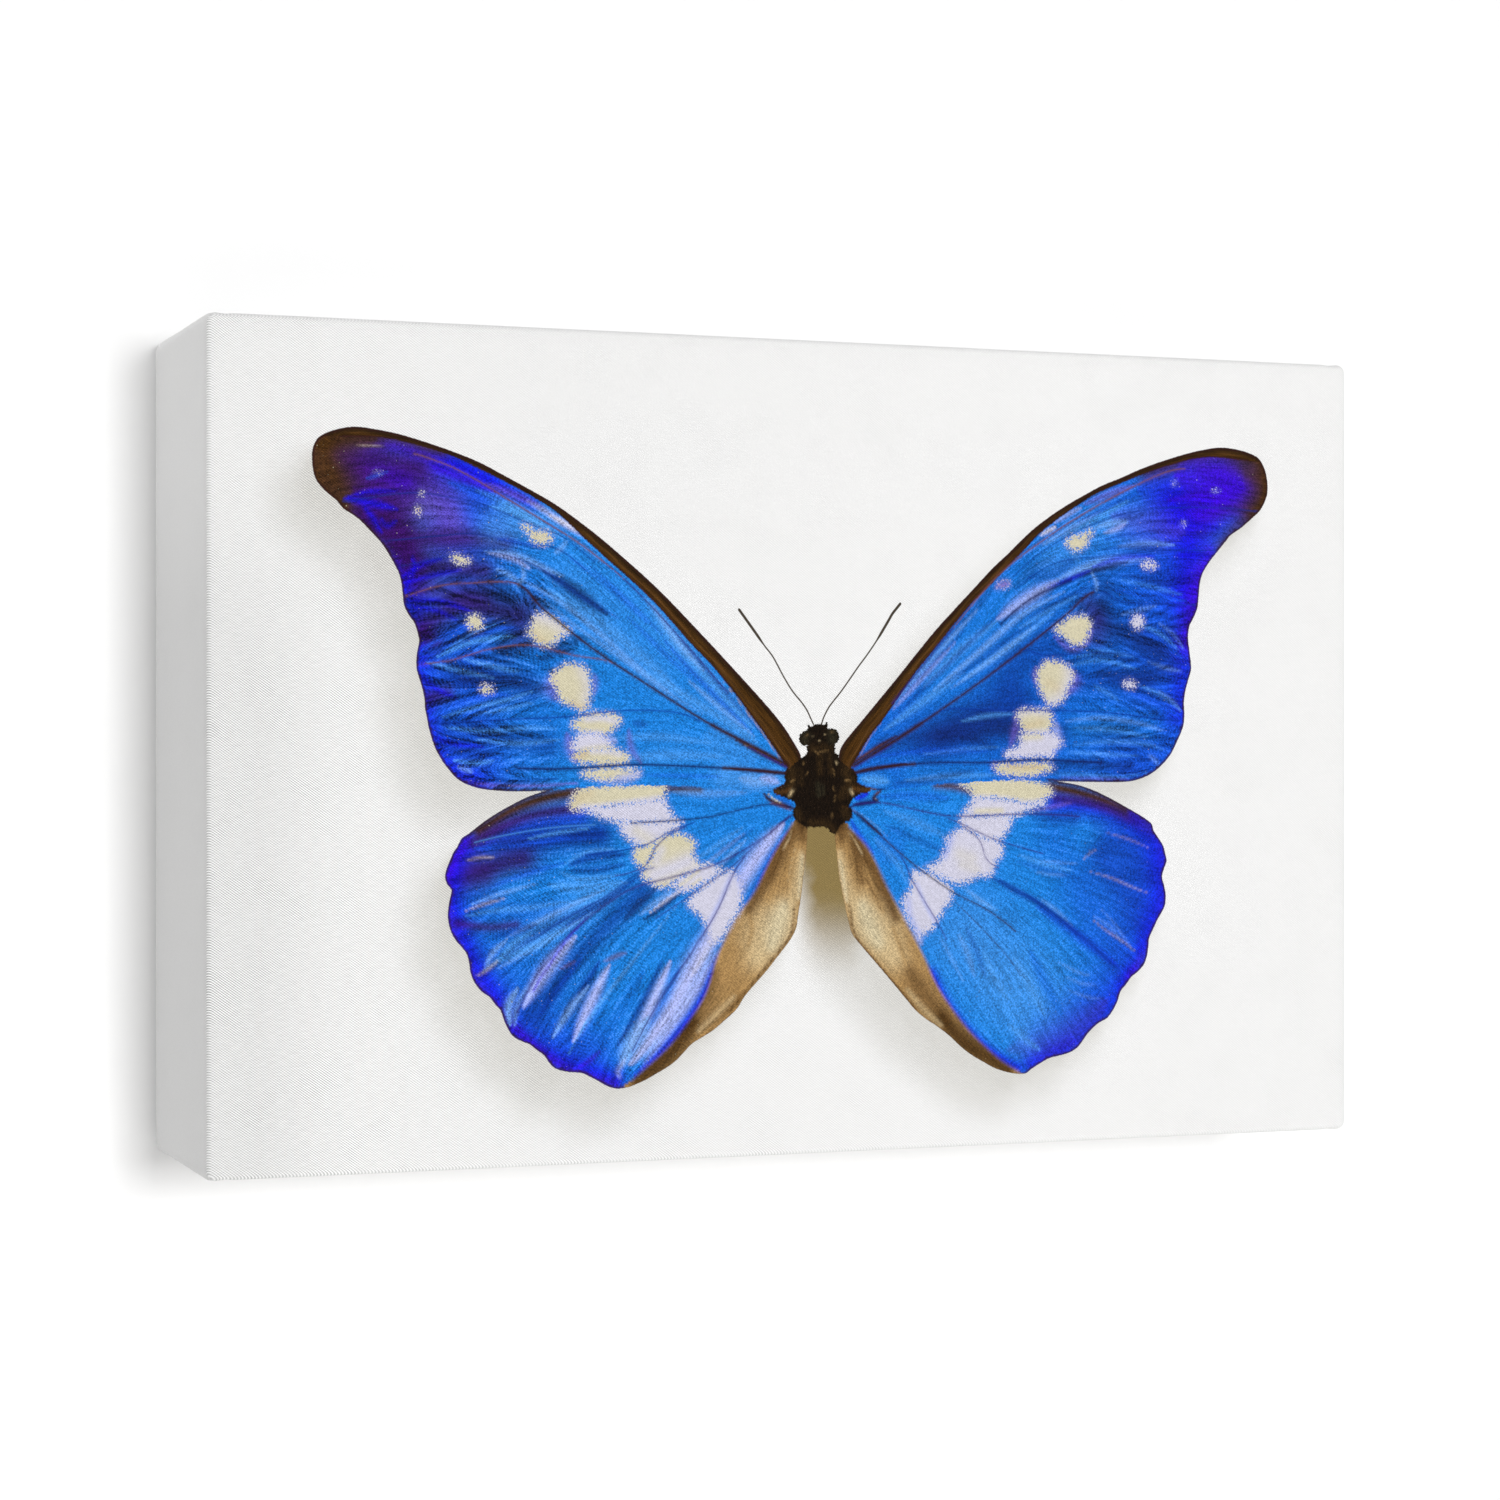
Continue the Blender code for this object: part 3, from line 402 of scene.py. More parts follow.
FOLDS = {}
FOLDS["left fore"] = [
    ("plum", 0.7, 4, (-88, 46, -82, 41, -78, 36)), ("brown", 0.8, 2.6, (-95, 53, -90, 54.6, -84, 54.8)),
    ("deep", 0.45, 2.4, (-66, 9, -60, 8.6, -54, 9)), ("sky", 0.25, 4, (-22, 2, -16, 0, -11, -2)),
    ("tan", 0.7, 0.16, (-18, 12.2, -13.1, 6.2, -9.9, 2.1, -7.4, -1.4, -5.2, -4.2)),
    ("bark", 1, 0.55, (-16, 1.5, -9.5, -1.7, -4.4, -4.2)), ("tan", 0.6, 0.15, (-14, 0.7, -9.5, -1.6,
    -5, -3.8)), ("night", 1, 0.4, (-17, -4, -10, -4.6, -4.8, -5.2)), ("dusk", 0.7, 0.3, (-11.4, -0.8,
    -8, -2.6, -5, -4.4)), ("lavender", 0.6, 0.9, (-11, -5.8, -8.6, -6.2, -7, -6.8)),
    ("night", 0.9, 0.3, (-5, -7, -7, -8.1, -10.4, -8.6)), ("ice", 0.5, 0.6, (-57, 30.2, -50, 26.6, -43, 21.4,
    -36, 15.6, -28, 9.6)), ("sky", 0.55, 1.3, (-52, 28.6, -44, 24, -36, 18, -26, 9.5)),
    ("ice", 0.4, 0.4, (-54, 27.4, -46, 21.5, -38, 16.2, -30, 10.6, -22, 6)), ("night", 0.75, 1.3, (-53, 32,
    -48, 29.2, -44, 26.4, -40.5, 24)), ("deep", 0.6, 0.6, (-58, 34.6, -52, 31.6, -46, 27.6, -38, 23.2)),
    ("ice", 0.6, 0.6, (-64, 35.2, -58, 34.6, -53, 32.6, -49, 31)), ("lavender", 0.65, 0.5, (-63, 35,
    -58.5, 34, -55, 32)), ("sky", 0.7, 1.3, (-33.5, 27.5, -29, 21.5, -24, 16, -18, 9.5, -12, 3.4)),
    ("ice", 0.6, 0.6, (-32, 26, -27.5, 20, -22, 14)), ("royal", 0.6, 0.5, (-30, 20, -25, 14.6, -19, 8.8,
    -12, 2.4)), ("deep", 0.5, 0.45, (-27, 20.4, -21, 13.6, -15, 7.2, -10, 2)),
    ("ice", 0.55, 0.5, (-25.4, 12.6, -19, 7.4, -12, 2)), ("sky", 0.6, 0.9, (-34, 14, -26, 9.6, -18, 5,
    -11, 0.6)), ("royal", 0.4, 0.5, (-37, 24, -30, 17.6, -23, 11.4)), ("royal", 0.4, 0.45, (-44, 33, -37, 27,
    -30, 20.6)), ("royal", 0.35, 0.5, (-48, 34.6, -40, 28.8, -33, 22.6)), ("lavender", 0.8, 0.6, (-56, 44.6,
    -52.6, 42.8, -49, 40.6, -45, 38.2)), ("snow", 0.9, 0.45, (-51.6, 42, -48.6, 40.6, -46.4, 39.2)),
    ("mauve", 0.5, 0.7, (-64, 47.6, -58, 45.4, -53, 43.6)), ("sky", 0.7, 0.8, (-66, 46.4, -60, 44, -54, 40.6,
    -49, 37.8)), ("sky", 0.6, 0.9, (-63, 43.4, -57, 42, -51, 38.8)), ("violet", 0.7, 0.9, (-74, 50.4,
    -68, 48.2, -62, 46)), ("royal", 0.6, 0.9, (-71, 47.6, -65, 45.6, -60, 44.6)),
    ("ultra", 0.8, 0.8, (-90, 44.2, -84, 43.2, -80, 42.4)), ("ultra", 0.7, 0.5, (-89, 44.4, -85, 45.4,
    -80, 45.6)), ("ultra", 0.7, 0.6, (-86.5, 43, -84.6, 40.8, -83, 38)), ("ultra", 0.6, 0.5, (-83.4, 41,
    -82, 39.4, -80, 40.5)), ("royal", 0.6, 0.4, (-86, 47.6, -82, 49)), ("ultra", 0.7, 0.6, (-79.5, 30,
    -76, 32.4, -72, 33.8)), ("ultra", 0.7, 0.5, (-79.4, 29, -74, 30.6, -68, 32)),
    ("ultra", 0.7, 0.5, (-78.8, 28, -77, 31.8, -77.5, 34.4)), ("ultra", 0.8, 0.5, (-78.4, 26, -72, 26,
    -66, 24.2)), ("ultra", 0.7, 0.5, (-78, 25.2, -73, 24.4, -69, 22.8)), ("royal", 0.7, 0.5, (-76, 17,
    -71, 20.2, -64, 23)), ("royal", 0.8, 0.6, (-76, 16.4, -70, 18.6, -62, 21.2, -57, 21.4)),
    ("sky", 0.7, 0.5, (-73, 16, -67, 18.6, -62, 19.6, -58, 20)), ("sky", 0.55, 0.4, (-71, 17.4, -66, 20.6,
    -62, 22)), ("night", 0.5, 0.4, (-74, 17, -68, 19.8, -60, 20.6)), ("sky", 0.6, 0.5, (-75, 15.2, -68, 13.6,
    -62, 12.4)), ("sky", 0.5, 0.5, (-68, 15.8, -62, 14.4, -57, 13.4)), ("royal", 0.7, 0.6, (-76, 14,
    -70, 11.8, -64, 10.4)), ("night", 0.5, 0.5, (-72, 14.6, -65, 13.2, -58, 12)),
    ("ultra", 0.7, 0.5, (-76, 13, -73, 10.4, -69, 8.6)), ("royal", 0.7, 0.5, (-74.6, 5, -70, 7.4, -63, 9.2,
    -58, 9.2)), ("sky", 0.6, 0.45, (-72, 5.2, -66, 7, -60, 8.4, -55, 10)), ("sky", 0.5, 0.4, (-66, 5.8,
    -60, 6.8, -54, 8.2)), ("sky", 0.55, 0.5, (-72, 3.6, -64, 2.8, -56, 3.4, -50, 3.4)),
    ("sky", 0.5, 0.5, (-66, 1.4, -58, 0.6, -50, 1.2)), ("ultra", 0.7, 0.6, (-73.6, 2, -70, 0.6, -64, 0)),
    ("royal", 0.7, 0.5, (-72, -1.6, -67, -1.4, -61, -2.2)), ("sky", 0.6, 0.5, (-70, -2.4, -66, -3,
    -62, -2.6)), ("ice", 0.5, 0.5, (-69, -3.6, -66, -4.6)), ("mauve", 0.6, 0.4, (-68, -6.2, -62, -7,
    -54, -7.1, -46, -6.6)), ("deep", 0.6, 0.5, (-66, -5.8, -58, -6.2, -50, -5.8)),
    ("night", 0.5, 0.7, (-54, 15.6, -50.5, 17, -46.6, 17.4)), ("night", 0.55, 1.2, (-45.5, 20, -48, 18.6,
    -52, 17.4)), ("deep", 0.5, 0.8, (-36, 4.4, -33, 4)), ("sky", 0.5, 1.2, (-38, -2.2, -28, -1.6, -18, -1.8)),
    ("sky", 0.45, 0.8, (-40, 1.6, -30, 1.8, -20, 0.6)), ("royal", 0.4, 0.5, (-34, -5.2, -24, -5.4,
    -18, -5.6)), ("ice", 0.6, 1.1, (-15, -5.8, -9.4, -6.9)), ("sand", 0.3, 0.16, (-88.6, 53.4, -85, 53.6,
    -82, 53.7)), ("ice", 0.5, 0.5, (-48.4, 37.6, -49.4, 36.2, -51, 35)), ("ice", 0.6, 0.4, (-57.6, 29,
    -56.6, 31, -57, 33)), ("ice", 0.5, 0.5, (-57, 29.6, -60, 31.4, -62, 32)),
    ("royal", 0.5, 0.6, (-61.6, 37.6, -56, 36.6, -52, 36)), ("mauve", 0.5, 1.6, (-50.6, 13.6, -51.2, 10.4,
    -50, 8.4)), ("mauve", 0.45, 0.8, (-43, 13.4, -43.2, 9.4)), ("mauve", 0.55, 1.1, (-48.4, 2.6, -47.6, -0.6,
    -46.6, -3)), ("lavender", 0.7, 1.1, (-46, 0.8, -42, 1.4, -38.6, 1)), ("lavender", 0.5, 1, (-44, -5.4,
    -39, -6, -34, -5.2)), ("mauve", 0.5, 0.7, (-36.6, 3.4, -36, -0.4, -34, -3.2))]
FOLDS["right fore"] = [
    ("ultra", 0.4, 5, (68, 50, 76, 50, 84, 48)), ("iris", 0.5, 4, (62, 45, 70, 43, 78, 42)),
    ("violet", 0.75, 5, (76, 53, 84, 53, 91, 51)), ("tan", 0.5, 0.14, (14, 4.9, 11.4, 1.9, 9.4, -1.4,
    7.8, -3.8)), ("bark", 1, 0.5, (17, 2.2, 12, -0.6, 6.6, -3.8)), ("rust", 0.5, 0.14, (15, 1.2, 11, -1.1,
    7.4, -3.2)), ("night", 1, 0.4, (19, -3.1, 13, -4.1, 7.4, -5.2)), ("sky", 0.8, 1, (9.4, -6, 12.6, -6.3,
    15.4, -6.6)), ("night", 0.9, 0.3, (8.2, -6.8, 11, -7.9, 15, -8.1)), ("umber", 0.9, 0.4, (7.6, -7.6,
    10, -7.9, 12.4, -8)), ("lavender", 0.7, 1.2, (37.5, 24.2, 41, 26.6, 46, 29.6, 51, 32.2)),
    ("ice", 0.7, 1, (50, 32, 56, 34.4, 62, 36, 70, 36.8)), ("night", 0.8, 0.7, (51, 31.4, 55, 33, 60, 34.6,
    66, 36)), ("ultra", 0.7, 0.7, (58, 34.8, 64, 36.6, 72, 37.2)), ("ultra", 0.7, 0.5, (48, 30.4, 53, 32.4,
    58, 34.4)), ("sky", 0.7, 0.9, (22, 11, 30, 18.4, 38, 24.4)), ("ice", 0.6, 0.6, (24, 10.4, 33, 17.4,
    43, 25.4, 52, 30)), ("deep", 0.6, 0.5, (16, 5.4, 24, 12.6, 33, 20.8, 40, 27)),
    ("night", 0.45, 0.6, (26, 19, 32, 25, 37, 30.4)), ("ice", 0.5, 0.5, (14, 6, 21, 13.4, 28, 20.6,
    34, 26.6)), ("lavender", 0.5, 0.5, (16, 7, 22, 13, 29, 20)), ("deep", 0.5, 0.4, (18, 9.4, 25, 16.4,
    31, 22.4)), ("sky", 0.6, 0.8, (14, 3, 22, 8.4, 31, 14.4)), ("sky", 0.55, 0.7, (30, 12.4, 40, 19, 50, 26)),
    ("ice", 0.5, 0.45, (28, 11, 37, 17, 46, 23.4)), ("deep", 0.5, 0.45, (25, 10.6, 35, 17.2, 45, 24.2)),
    ("sky", 0.5, 0.6, (42, 22.6, 49, 26.4, 55, 29.4)), ("deep", 0.5, 0.5, (44, 24.6, 51, 28.2, 57, 31)),
    ("night", 0.4, 0.9, (41, 30.4, 45, 34, 50, 36.6)), ("deep", 0.45, 1.4, (44, 32.4, 50, 33.6, 55, 37)),
    ("sky", 0.6, 0.8, (52, 41, 60, 45, 66, 48)), ("ice", 0.6, 0.5, (47, 38.6, 53, 42, 60, 45.8)),
    ("deep", 0.5, 0.4, (50, 40.2, 58, 44.6, 66, 48.6)), ("royal", 0.5, 0.5, (55, 43.6, 63, 47.4, 70, 50)),
    ("ice", 0.6, 0.7, (58.5, 42.4, 62, 43.4, 66, 43.8)), ("lavender", 0.55, 0.5, (60.4, 41.4, 63.4, 42.4,
    65.4, 43.6)), ("royal", 0.5, 0.5, (60, 40, 66, 41.4, 72, 41.6)), ("ice", 0.45, 0.6, (63, 38.8, 70, 39.6,
    76, 39.4)), ("deep", 0.45, 0.5, (60, 38, 66, 39, 74, 38.9)), ("mauve", 0.5, 0.8, (56, 46.8, 62, 49.2,
    67, 50.8)), ("lavender", 0.55, 0.5, (49.6, 43, 53, 45, 56, 46.4)), ("snow", 0.9, 0.4, (46.6, 40.6,
    48.6, 41.6, 50.4, 42.6)), ("mauve", 0.6, 0.8, (37.2, 30.4, 39, 31.2, 40.6, 31)),
    ("ultra", 0.7, 0.8, (76, 37.4, 80, 37.6, 84, 37.4)), ("violet", 0.6, 0.7, (74, 48, 82, 49.4, 90, 49.6)),
    ("ultra", 0.6, 0.9, (74, 44, 80, 43.6, 86, 43)), ("sky", 0.33, 0.5, (64, 32.4, 70, 31.4, 78, 29.6)),
    ("royal", 0.6, 0.6, (62, 30.6, 70, 29.4, 79, 28.4)), ("night", 0.4, 0.5, (62, 33.6, 70, 32.6, 78, 30.8)),
    ("ice", 0.33, 0.5, (64, 25.6, 68, 26.6, 72, 27.6)), ("sky", 0.39, 0.5, (66, 24.4, 72, 22.4, 77, 18.8)),
    ("ice", 0.29, 0.4, (72, 24.4, 75.5, 22, 78, 19)), ("royal", 0.7, 0.6, (68, 23, 73, 20.6, 78, 17)),
    ("sky", 0.36, 0.5, (54, 17.2, 60, 18.4, 67, 17.6)), ("sky", 0.39, 0.5, (53, 15.6, 60, 16.8, 68, 15)),
    ("ice", 0.26, 0.4, (70, 16.6, 74, 15.4, 78, 14.6)), ("night", 0.45, 0.5, (52, 16.4, 60, 17.6, 70, 16.2)),
    ("sky", 0.39, 0.5, (68, 12, 73, 10, 77.4, 7)), ("ice", 0.33, 0.35, (72, 11, 75.4, 9, 77.6, 6.6)),
    ("sky", 0.33, 0.5, (58, 12, 62, 10, 64, 8.8)), ("royal", 0.7, 0.6, (66, 10.6, 72, 8.6, 77, 6)),
    ("ice", 0.33, 0.5, (52, 5, 60, 5.6, 68, 4.6, 74, 3)), ("sky", 0.39, 0.6, (54, 3.6, 62, 3.4, 70, 2)),
    ("sky", 0.33, 0.5, (54, 0.4, 62, 1, 70, 0.4, 74, -0.8)), ("sky", 0.33, 0.5, (52, -1, 60, -1.4, 68, -1.8)),
    ("ice", 0.29, 0.5, (70, -1.4, 72, -3, 72.6, -4)), ("sky", 0.39, 0.4, (48, -5.2, 56, -5.4, 64, -5.8,
    70, -5)), ("mauve", 0.4, 0.4, (50, -6, 58, -6.2, 66, -6.2)), ("sky", 0.5, 0.5, (30, 4.8, 36, 6, 42, 6.4)),
    ("sky", 0.4, 0.4, (22, -1.4, 30, -0.6, 38, 0)), ("royal", 0.5, 0.6, (12, -2, 22, -0.8, 36, -0.8)),
    ("sky", 0.55, 0.6, (18, -6.4, 28, -5.6, 38, -5.4)), ("night", 0.5, 0.6, (16, -7, 24, -6, 34, -4.2)),
    ("night", 0.4, 1, (38, -0.6, 34, 1, 30, 2)), ("ice", 0.5, 0.4, (57.8, 33.8, 58.8, 31.8, 58.8, 30)),
    ("sky", 0.4, 0.7, (55.4, 35.8, 53, 38)), ("mauve", 0.5, 1.2, (53.6, 15, 54.2, 12.6, 52.6, 10)),
    ("mauve", 0.5, 0.8, (46, 15.6, 45.8, 12)), ("mauve", 0.5, 0.9, (41.4, 6.4, 41.8, 4, 40.4, 0)),
    ("lavender", 0.6, 1, (50.2, 5, 50.2, 1, 49.4, -1.6)), ("mauve", 0.4, 1, (37.6, -2.6, 37, -4.4)),
    ("mauve", 0.45, 0.7, (49.6, 21.4, 53.6, 18.8, 57, 20.4, 58, 24))]
FOLDS["left hind"] = [
    ("umber", 0.9, 0.5, (-7.6, -8.4, -5.6, -7.9, -4.4, -7.2)), ("blue", 0.9, 0.6, (-7.8, -8.8, -6.4, -9.7,
    -4.2, -10.9)), ("sand", 0.9, 0.42, (-5.8, -9, -4.7, -8.3, -4.2, -9.6)), ("bark", 1, 0.55, (-10.2, -8.5,
    -9, -9.8, -6.4, -10.8, -3.8, -11.6)), ("cream", 0.8, 0.14, (-9.2, -8.8, -8, -9.8, -6.4, -10.5)),
    ("lavender", 0.8, 1.6, (-18, -37, -24, -46, -30, -54.6, -34, -59)), ("ice", 0.6, 1, (-21, -44, -27, -53,
    -31.4, -59)), ("sky", 0.45, 2.6, (-62, -39, -50, -32, -38, -26)), ("ice", 0.55, 0.5, (-60, -34.6,
    -50, -30, -41, -26)), ("ice", 0.5, 0.45, (-62, -40.4, -52, -35, -43, -30)),
    ("deep", 0.5, 0.7, (-61, -37.4, -51, -32.4, -43, -28.4)), ("rust", 0.7, 0.3, (-9, -10.6, -7, -10.8,
    -4.6, -11.9)), ("night", 0.9, 0.35, (-4.2, -12.6, -7, -14.6, -11, -18.2)),
    ("lavender", 1, 1.7, (-6, -14.2, -10, -18.8, -14, -24, -17.8, -30.4)), ("lavender", 1, 2, (-17, -29,
    -20.6, -35, -24, -41, -28, -48, -32, -53.4, -36.4, -58.4)), ("snow", 0.5, 0.9, (-17, -30, -20.4, -36,
    -24.4, -42.4)), ("blue", 0.95, 0.9, (-5.4, -15.8, -8.8, -20.8, -12.4, -27.4, -14.8, -31)),
    ("ultra", 0.7, 0.4, (-4.8, -15.2, -8, -20.2, -12, -27.2)), ("royal", 0.9, 1, (-17.4, -36.4, -19.8, -40,
    -22.2, -45.6, -25.8, -50.8, -30.8, -56.2, -36.4, -60.6)), ("ultra", 0.8, 0.6, (-20, -41, -22, -46,
    -25.4, -51, -30, -56, -36, -61)), ("blue", 0.8, 1, (-26.6, -40.6, -29.6, -46, -33.4, -52.4)),
    ("lavender", 0.95, 1, (-28.4, -39.4, -30.4, -43.6, -33, -49, -36.6, -55.6)),
    ("ice", 0.85, 1.7, (-32.6, -49.6, -36, -54.6, -38, -58.6)), ("deep", 0.75, 0.7, (-29.8, -38.8, -33.4, -46,
    -38.8, -55)), ("blue", 0.5, 1.6, (-33.6, -41, -37, -47, -41, -53)), ("lavender", 0.9, 1, (-40.2, -39.8,
    -42.2, -43.4, -44.8, -48.6, -47.2, -53.8)), ("deep", 0.8, 1.1, (-42, -39, -45.6, -44.6, -49.6, -50.4)),
    ("sky", 0.9, 0.32, (-27.4, -29.4, -30.8, -33.4, -36, -39.6, -41.6, -46.3, -46, -52.2, -48.4, -56.4)),
    ("ice", 0.7, 0.7, (-44.2, -43.6, -47.8, -47.8, -51.2, -53)), ("deep", 0.8, 0.9, (-45.6, -38.6, -50, -43.8,
    -54.2, -49.6)), ("lavender", 0.85, 1.2, (-46.6, -34.4, -50.4, -38.2, -53.6, -42.2, -56.8, -47.4)),
    ("violet", 0.7, 0.35, (-44.2, -30.9, -48, -34.6, -52, -40, -55, -44.6)), ("ice", 0.85, 0.8, (-57.6, -43.6,
    -59.4, -46.8, -59.2, -50.6)), ("ice", 0.6, 0.5, (-55.2, -42.4, -57.8, -47, -58.4, -51)),
    ("deep", 0.8, 0.7, (-34.6, -23.7, -40, -27.5, -45, -30.4, -50, -33.5)), ("sky", 0.6, 0.8, (-48, -32.6,
    -54, -36, -60, -37.8, -64.6, -40.8)), ("ice", 0.7, 0.5, (-59.6, -34.8, -62.2, -37, -64, -40)),
    ("sky", 0.6, 0.6, (-55, -33.6, -58.6, -35.6, -61, -38.2)), ("deep", 0.6, 0.8, (-54, -32.2, -58.6, -33.6,
    -62.6, -34.4)), ("sky", 0.55, 1.3, (-52, -25.2, -44, -25.6, -37, -24.8)), ("sky", 0.5, 0.6, (-68, -30.6,
    -62, -29.6, -55, -29.2, -47, -28)), ("ice", 0.45, 0.4, (-67, -28.6, -61, -26.6, -54, -24.8)),
    ("deep", 0.75, 1.2, (-48, -21.6, -43, -20, -37, -19.8)), ("deep", 0.6, 0.9, (-48, -22.6, -42, -22.4,
    -37, -21.4)), ("sky", 0.6, 0.4, (-50, -22.6, -46, -24.1, -38, -23.4)), ("sky", 0.5, 0.35, (-49, -21.4,
    -44.6, -19.2, -38, -18.6)), ("ice", 0.6, 0.5, (-27.4, -26, -31, -28.4, -34.6, -31)),
    ("snow", 0.8, 0.35, (-24.4, -25.2, -28.6, -27.8, -32.6, -30.6)), ("night", 0.8, 0.5, (-26.4, -27,
    -30.4, -29.8, -34, -32)), ("night", 0.7, 1, (-31, -25.8, -34.6, -29, -37.4, -31.8)),
    ("night", 0.5, 0.5, (-20, -23.4, -17.4, -21.4, -15, -19.6)), ("ice", 0.7, 0.4, (-22.6, -22.4,
    -18.4, -19.4, -13.6, -15.8)), ("ice", 0.6, 0.4, (-21.4, -24, -17.6, -20.8, -13, -16.8)),
    ("sky", 0.6, 0.5, (-24.4, -21.4, -19.6, -18.4, -14, -14.8)), ("deep", 0.5, 0.4, (-20.6, -20.8, -16.4, -18,
    -11.6, -14.8)), ("royal", 0.7, 0.6, (-66, -18.4, -57, -17.8, -47, -16.4)), ("sky", 0.6, 0.35, (-56, -16.8,
    -50, -15.6, -44, -14.9)), ("royal", 0.5, 0.6, (-63, -25.4, -56, -23, -49, -21.2)),
    ("ice", 0.35, 0.8, (-12, -8.2, -20, -8.6, -28, -8.4)), ("sand", 0.5, 0.35, (-61, -38.4, -64, -40.6,
    -65.6, -41.4)), ("sand", 0.45, 0.3, (-60, -27.4, -64, -28.4, -67.6, -29.6)),
    ("sand", 0.4, 0.3, (-62, -19.9, -65, -20, -67.6, -20.6)), ("rust", 0.5, 0.5, (-41.6, -39.4, -38.6, -38.2,
    -36.6, -37.6)), ("rust", 0.4, 0.35, (-50, -40.6, -46.6, -39)), ("lavender", 0.5, 0.5, (-37, -57,
    -38.6, -59.4, -38, -61)), ("violet", 0.6, 0.5, (-42, -55.6, -44.6, -57.6, -46.6, -58.6))]
FOLDS["right hind"] = [
    ("royal", 0.55, 13, (62, -16, 66, -28, 62, -42)), ("royal", 0.3, 5, (54, -56, 63, -47)),
    ("blue", 0.5, 4, (13, -17, 18, -21)), ("ultra", 0.55, 5, (66, -12, 73, -20, 73, -30, 68, -40)),
    ("iris", 0.35, 4, (40, -58, 52, -56, 61, -49)), ("sky", 0.2, 5, (34, -42, 40, -50, 44, -55)),
    ("deep", 0.3, 7, (58, -14, 66, -20, 68, -30)), ("ultra", 0.9, 0.6, (8.2, -9.9, 9.8, -9.3, 11.2, -8.7)),
    ("bark", 1, 0.38, (13.8, -8.1, 12.4, -9.2, 12.1, -9.9, 13.4, -10.3)), ("rust", 0.48, 0.24, (13.2, -8.4,
    12.6, -9)), ("sand", 0.54, 0.14, (12.3, -9.7, 12.9, -10.1)), ("night", 0.95, 0.4, (6.8, -11.4, 9.4, -10.8,
    13.2, -10.4)), ("night", 0.9, 0.4, (7.6, -11.9, 10.6, -14.2, 14, -16.8)), ("ice", 0.42, 0.14, (9.2, -12.3,
    12, -14.4, 15, -17)), ("rust", 0.3, 0.24, (7.2, -11.4, 8.8, -12.4)), ("deep", 0.8, 0.7, (36, -24.6,
    41, -27.4, 46.4, -30, 51, -33.4, 56, -37)), ("ultra", 0.5, 0.8, (52, -33.8, 58, -38.6, 64, -43)),
    ("ice", 0.36, 0.4, (46.6, -29, 50.4, -31.6, 54, -35)), ("sky", 0.6, 0.6, (30, -26.4, 33.6, -29,
    38, -31.4)), ("ice", 0.39, 0.28, (31, -26.8, 34.4, -29.4, 37.4, -31.2)), ("sky", 0.5, 0.6, (42, -20.6,
    48, -22.6, 54, -24)), ("ice", 0.3, 0.28, (46, -21.8, 50, -22.2, 55, -22.6)), ("deep", 0.4, 0.6, (42, -22,
    49, -24, 55, -25.4)), ("ice", 0.3, 0.28, (45, -23.8, 49, -24.6, 53, -24.8)),
    ("ice", 0.27, 0.32, (58, -32.6, 62, -35, 64.6, -38.4)), ("ice", 0.24, 0.28, (60, -31.6, 63, -34.6,
    66.6, -39.6)), ("blue", 0.7, 1.3, (44.6, -39, 47.6, -45, 51.4, -51.6)), ("sky", 0.5, 1, (41, -40,
    44.6, -46, 48, -52)), ("royal", 0.7, 1.2, (46, -30.6, 51, -33.8, 56, -37.2, 62, -41.2)),
    ("lavender", 0.8, 0.8, (20.4, -34.4, 22, -37.6)), ("ice", 0.3, 0.64, (29.6, -35.6, 31.6, -39.6, 33, -44)),
    ("deep", 0.4, 0.7, (31, -34, 33.4, -39, 35.4, -44.4)), ("ice", 0.24, 0.4, (25.6, -35.6, 28, -40,
    30.6, -44.6)), ("sky", 0.5, 0.7, (34.6, -38.6, 37, -43.6, 40, -48.6)), ("sky", 0.5, 0.8, (40, -53,
    44, -56.4, 47, -58.4)), ("ice", 0.3, 0.28, (50.6, -41.4, 54.6, -43.4, 58, -44.4)),
    ("ice", 0.27, 0.28, (52, -44.2, 56, -45.8, 59.6, -46)), ("ice", 0.27, 0.28, (53, -47, 57, -48.4,
    60, -48.6)), ("sky", 0.4, 1, (14, -12, 20, -14, 27, -17)), ("deep", 0.35, 0.8, (14, -14.6, 22, -18,
    30, -21)), ("sky", 0.45, 0.7, (12, -17, 17, -22, 19, -26)), ("royal", 0.45, 1.2, (13, -9.4, 20, -9.2,
    28, -9.8)), ("ultra", 0.6, 0.6, (7.4, -13.6, 9, -16.4, 12, -20)), ("night", 0.7, 0.6, (8, -11,
    10.6, -10.4, 13.4, -9.8)), ("sand", 0.33, 0.24, (58, -33.4, 61, -35.6, 64.6, -37.8, 67.6, -40)),
    ("sand", 0.3, 0.22, (57, -24, 62, -25.4, 67, -27.4, 70.4, -28.6)), ("sand", 0.24, 0.24, (56, -21.8,
    57.4, -20.6, 59, -19.8)), ("sand", 0.21, 0.22, (61, -16.6, 66, -18, 70, -19.6)),
    ("mauve", 0.5, 0.5, (44, -12.4, 49, -11.6, 54, -10.6))]

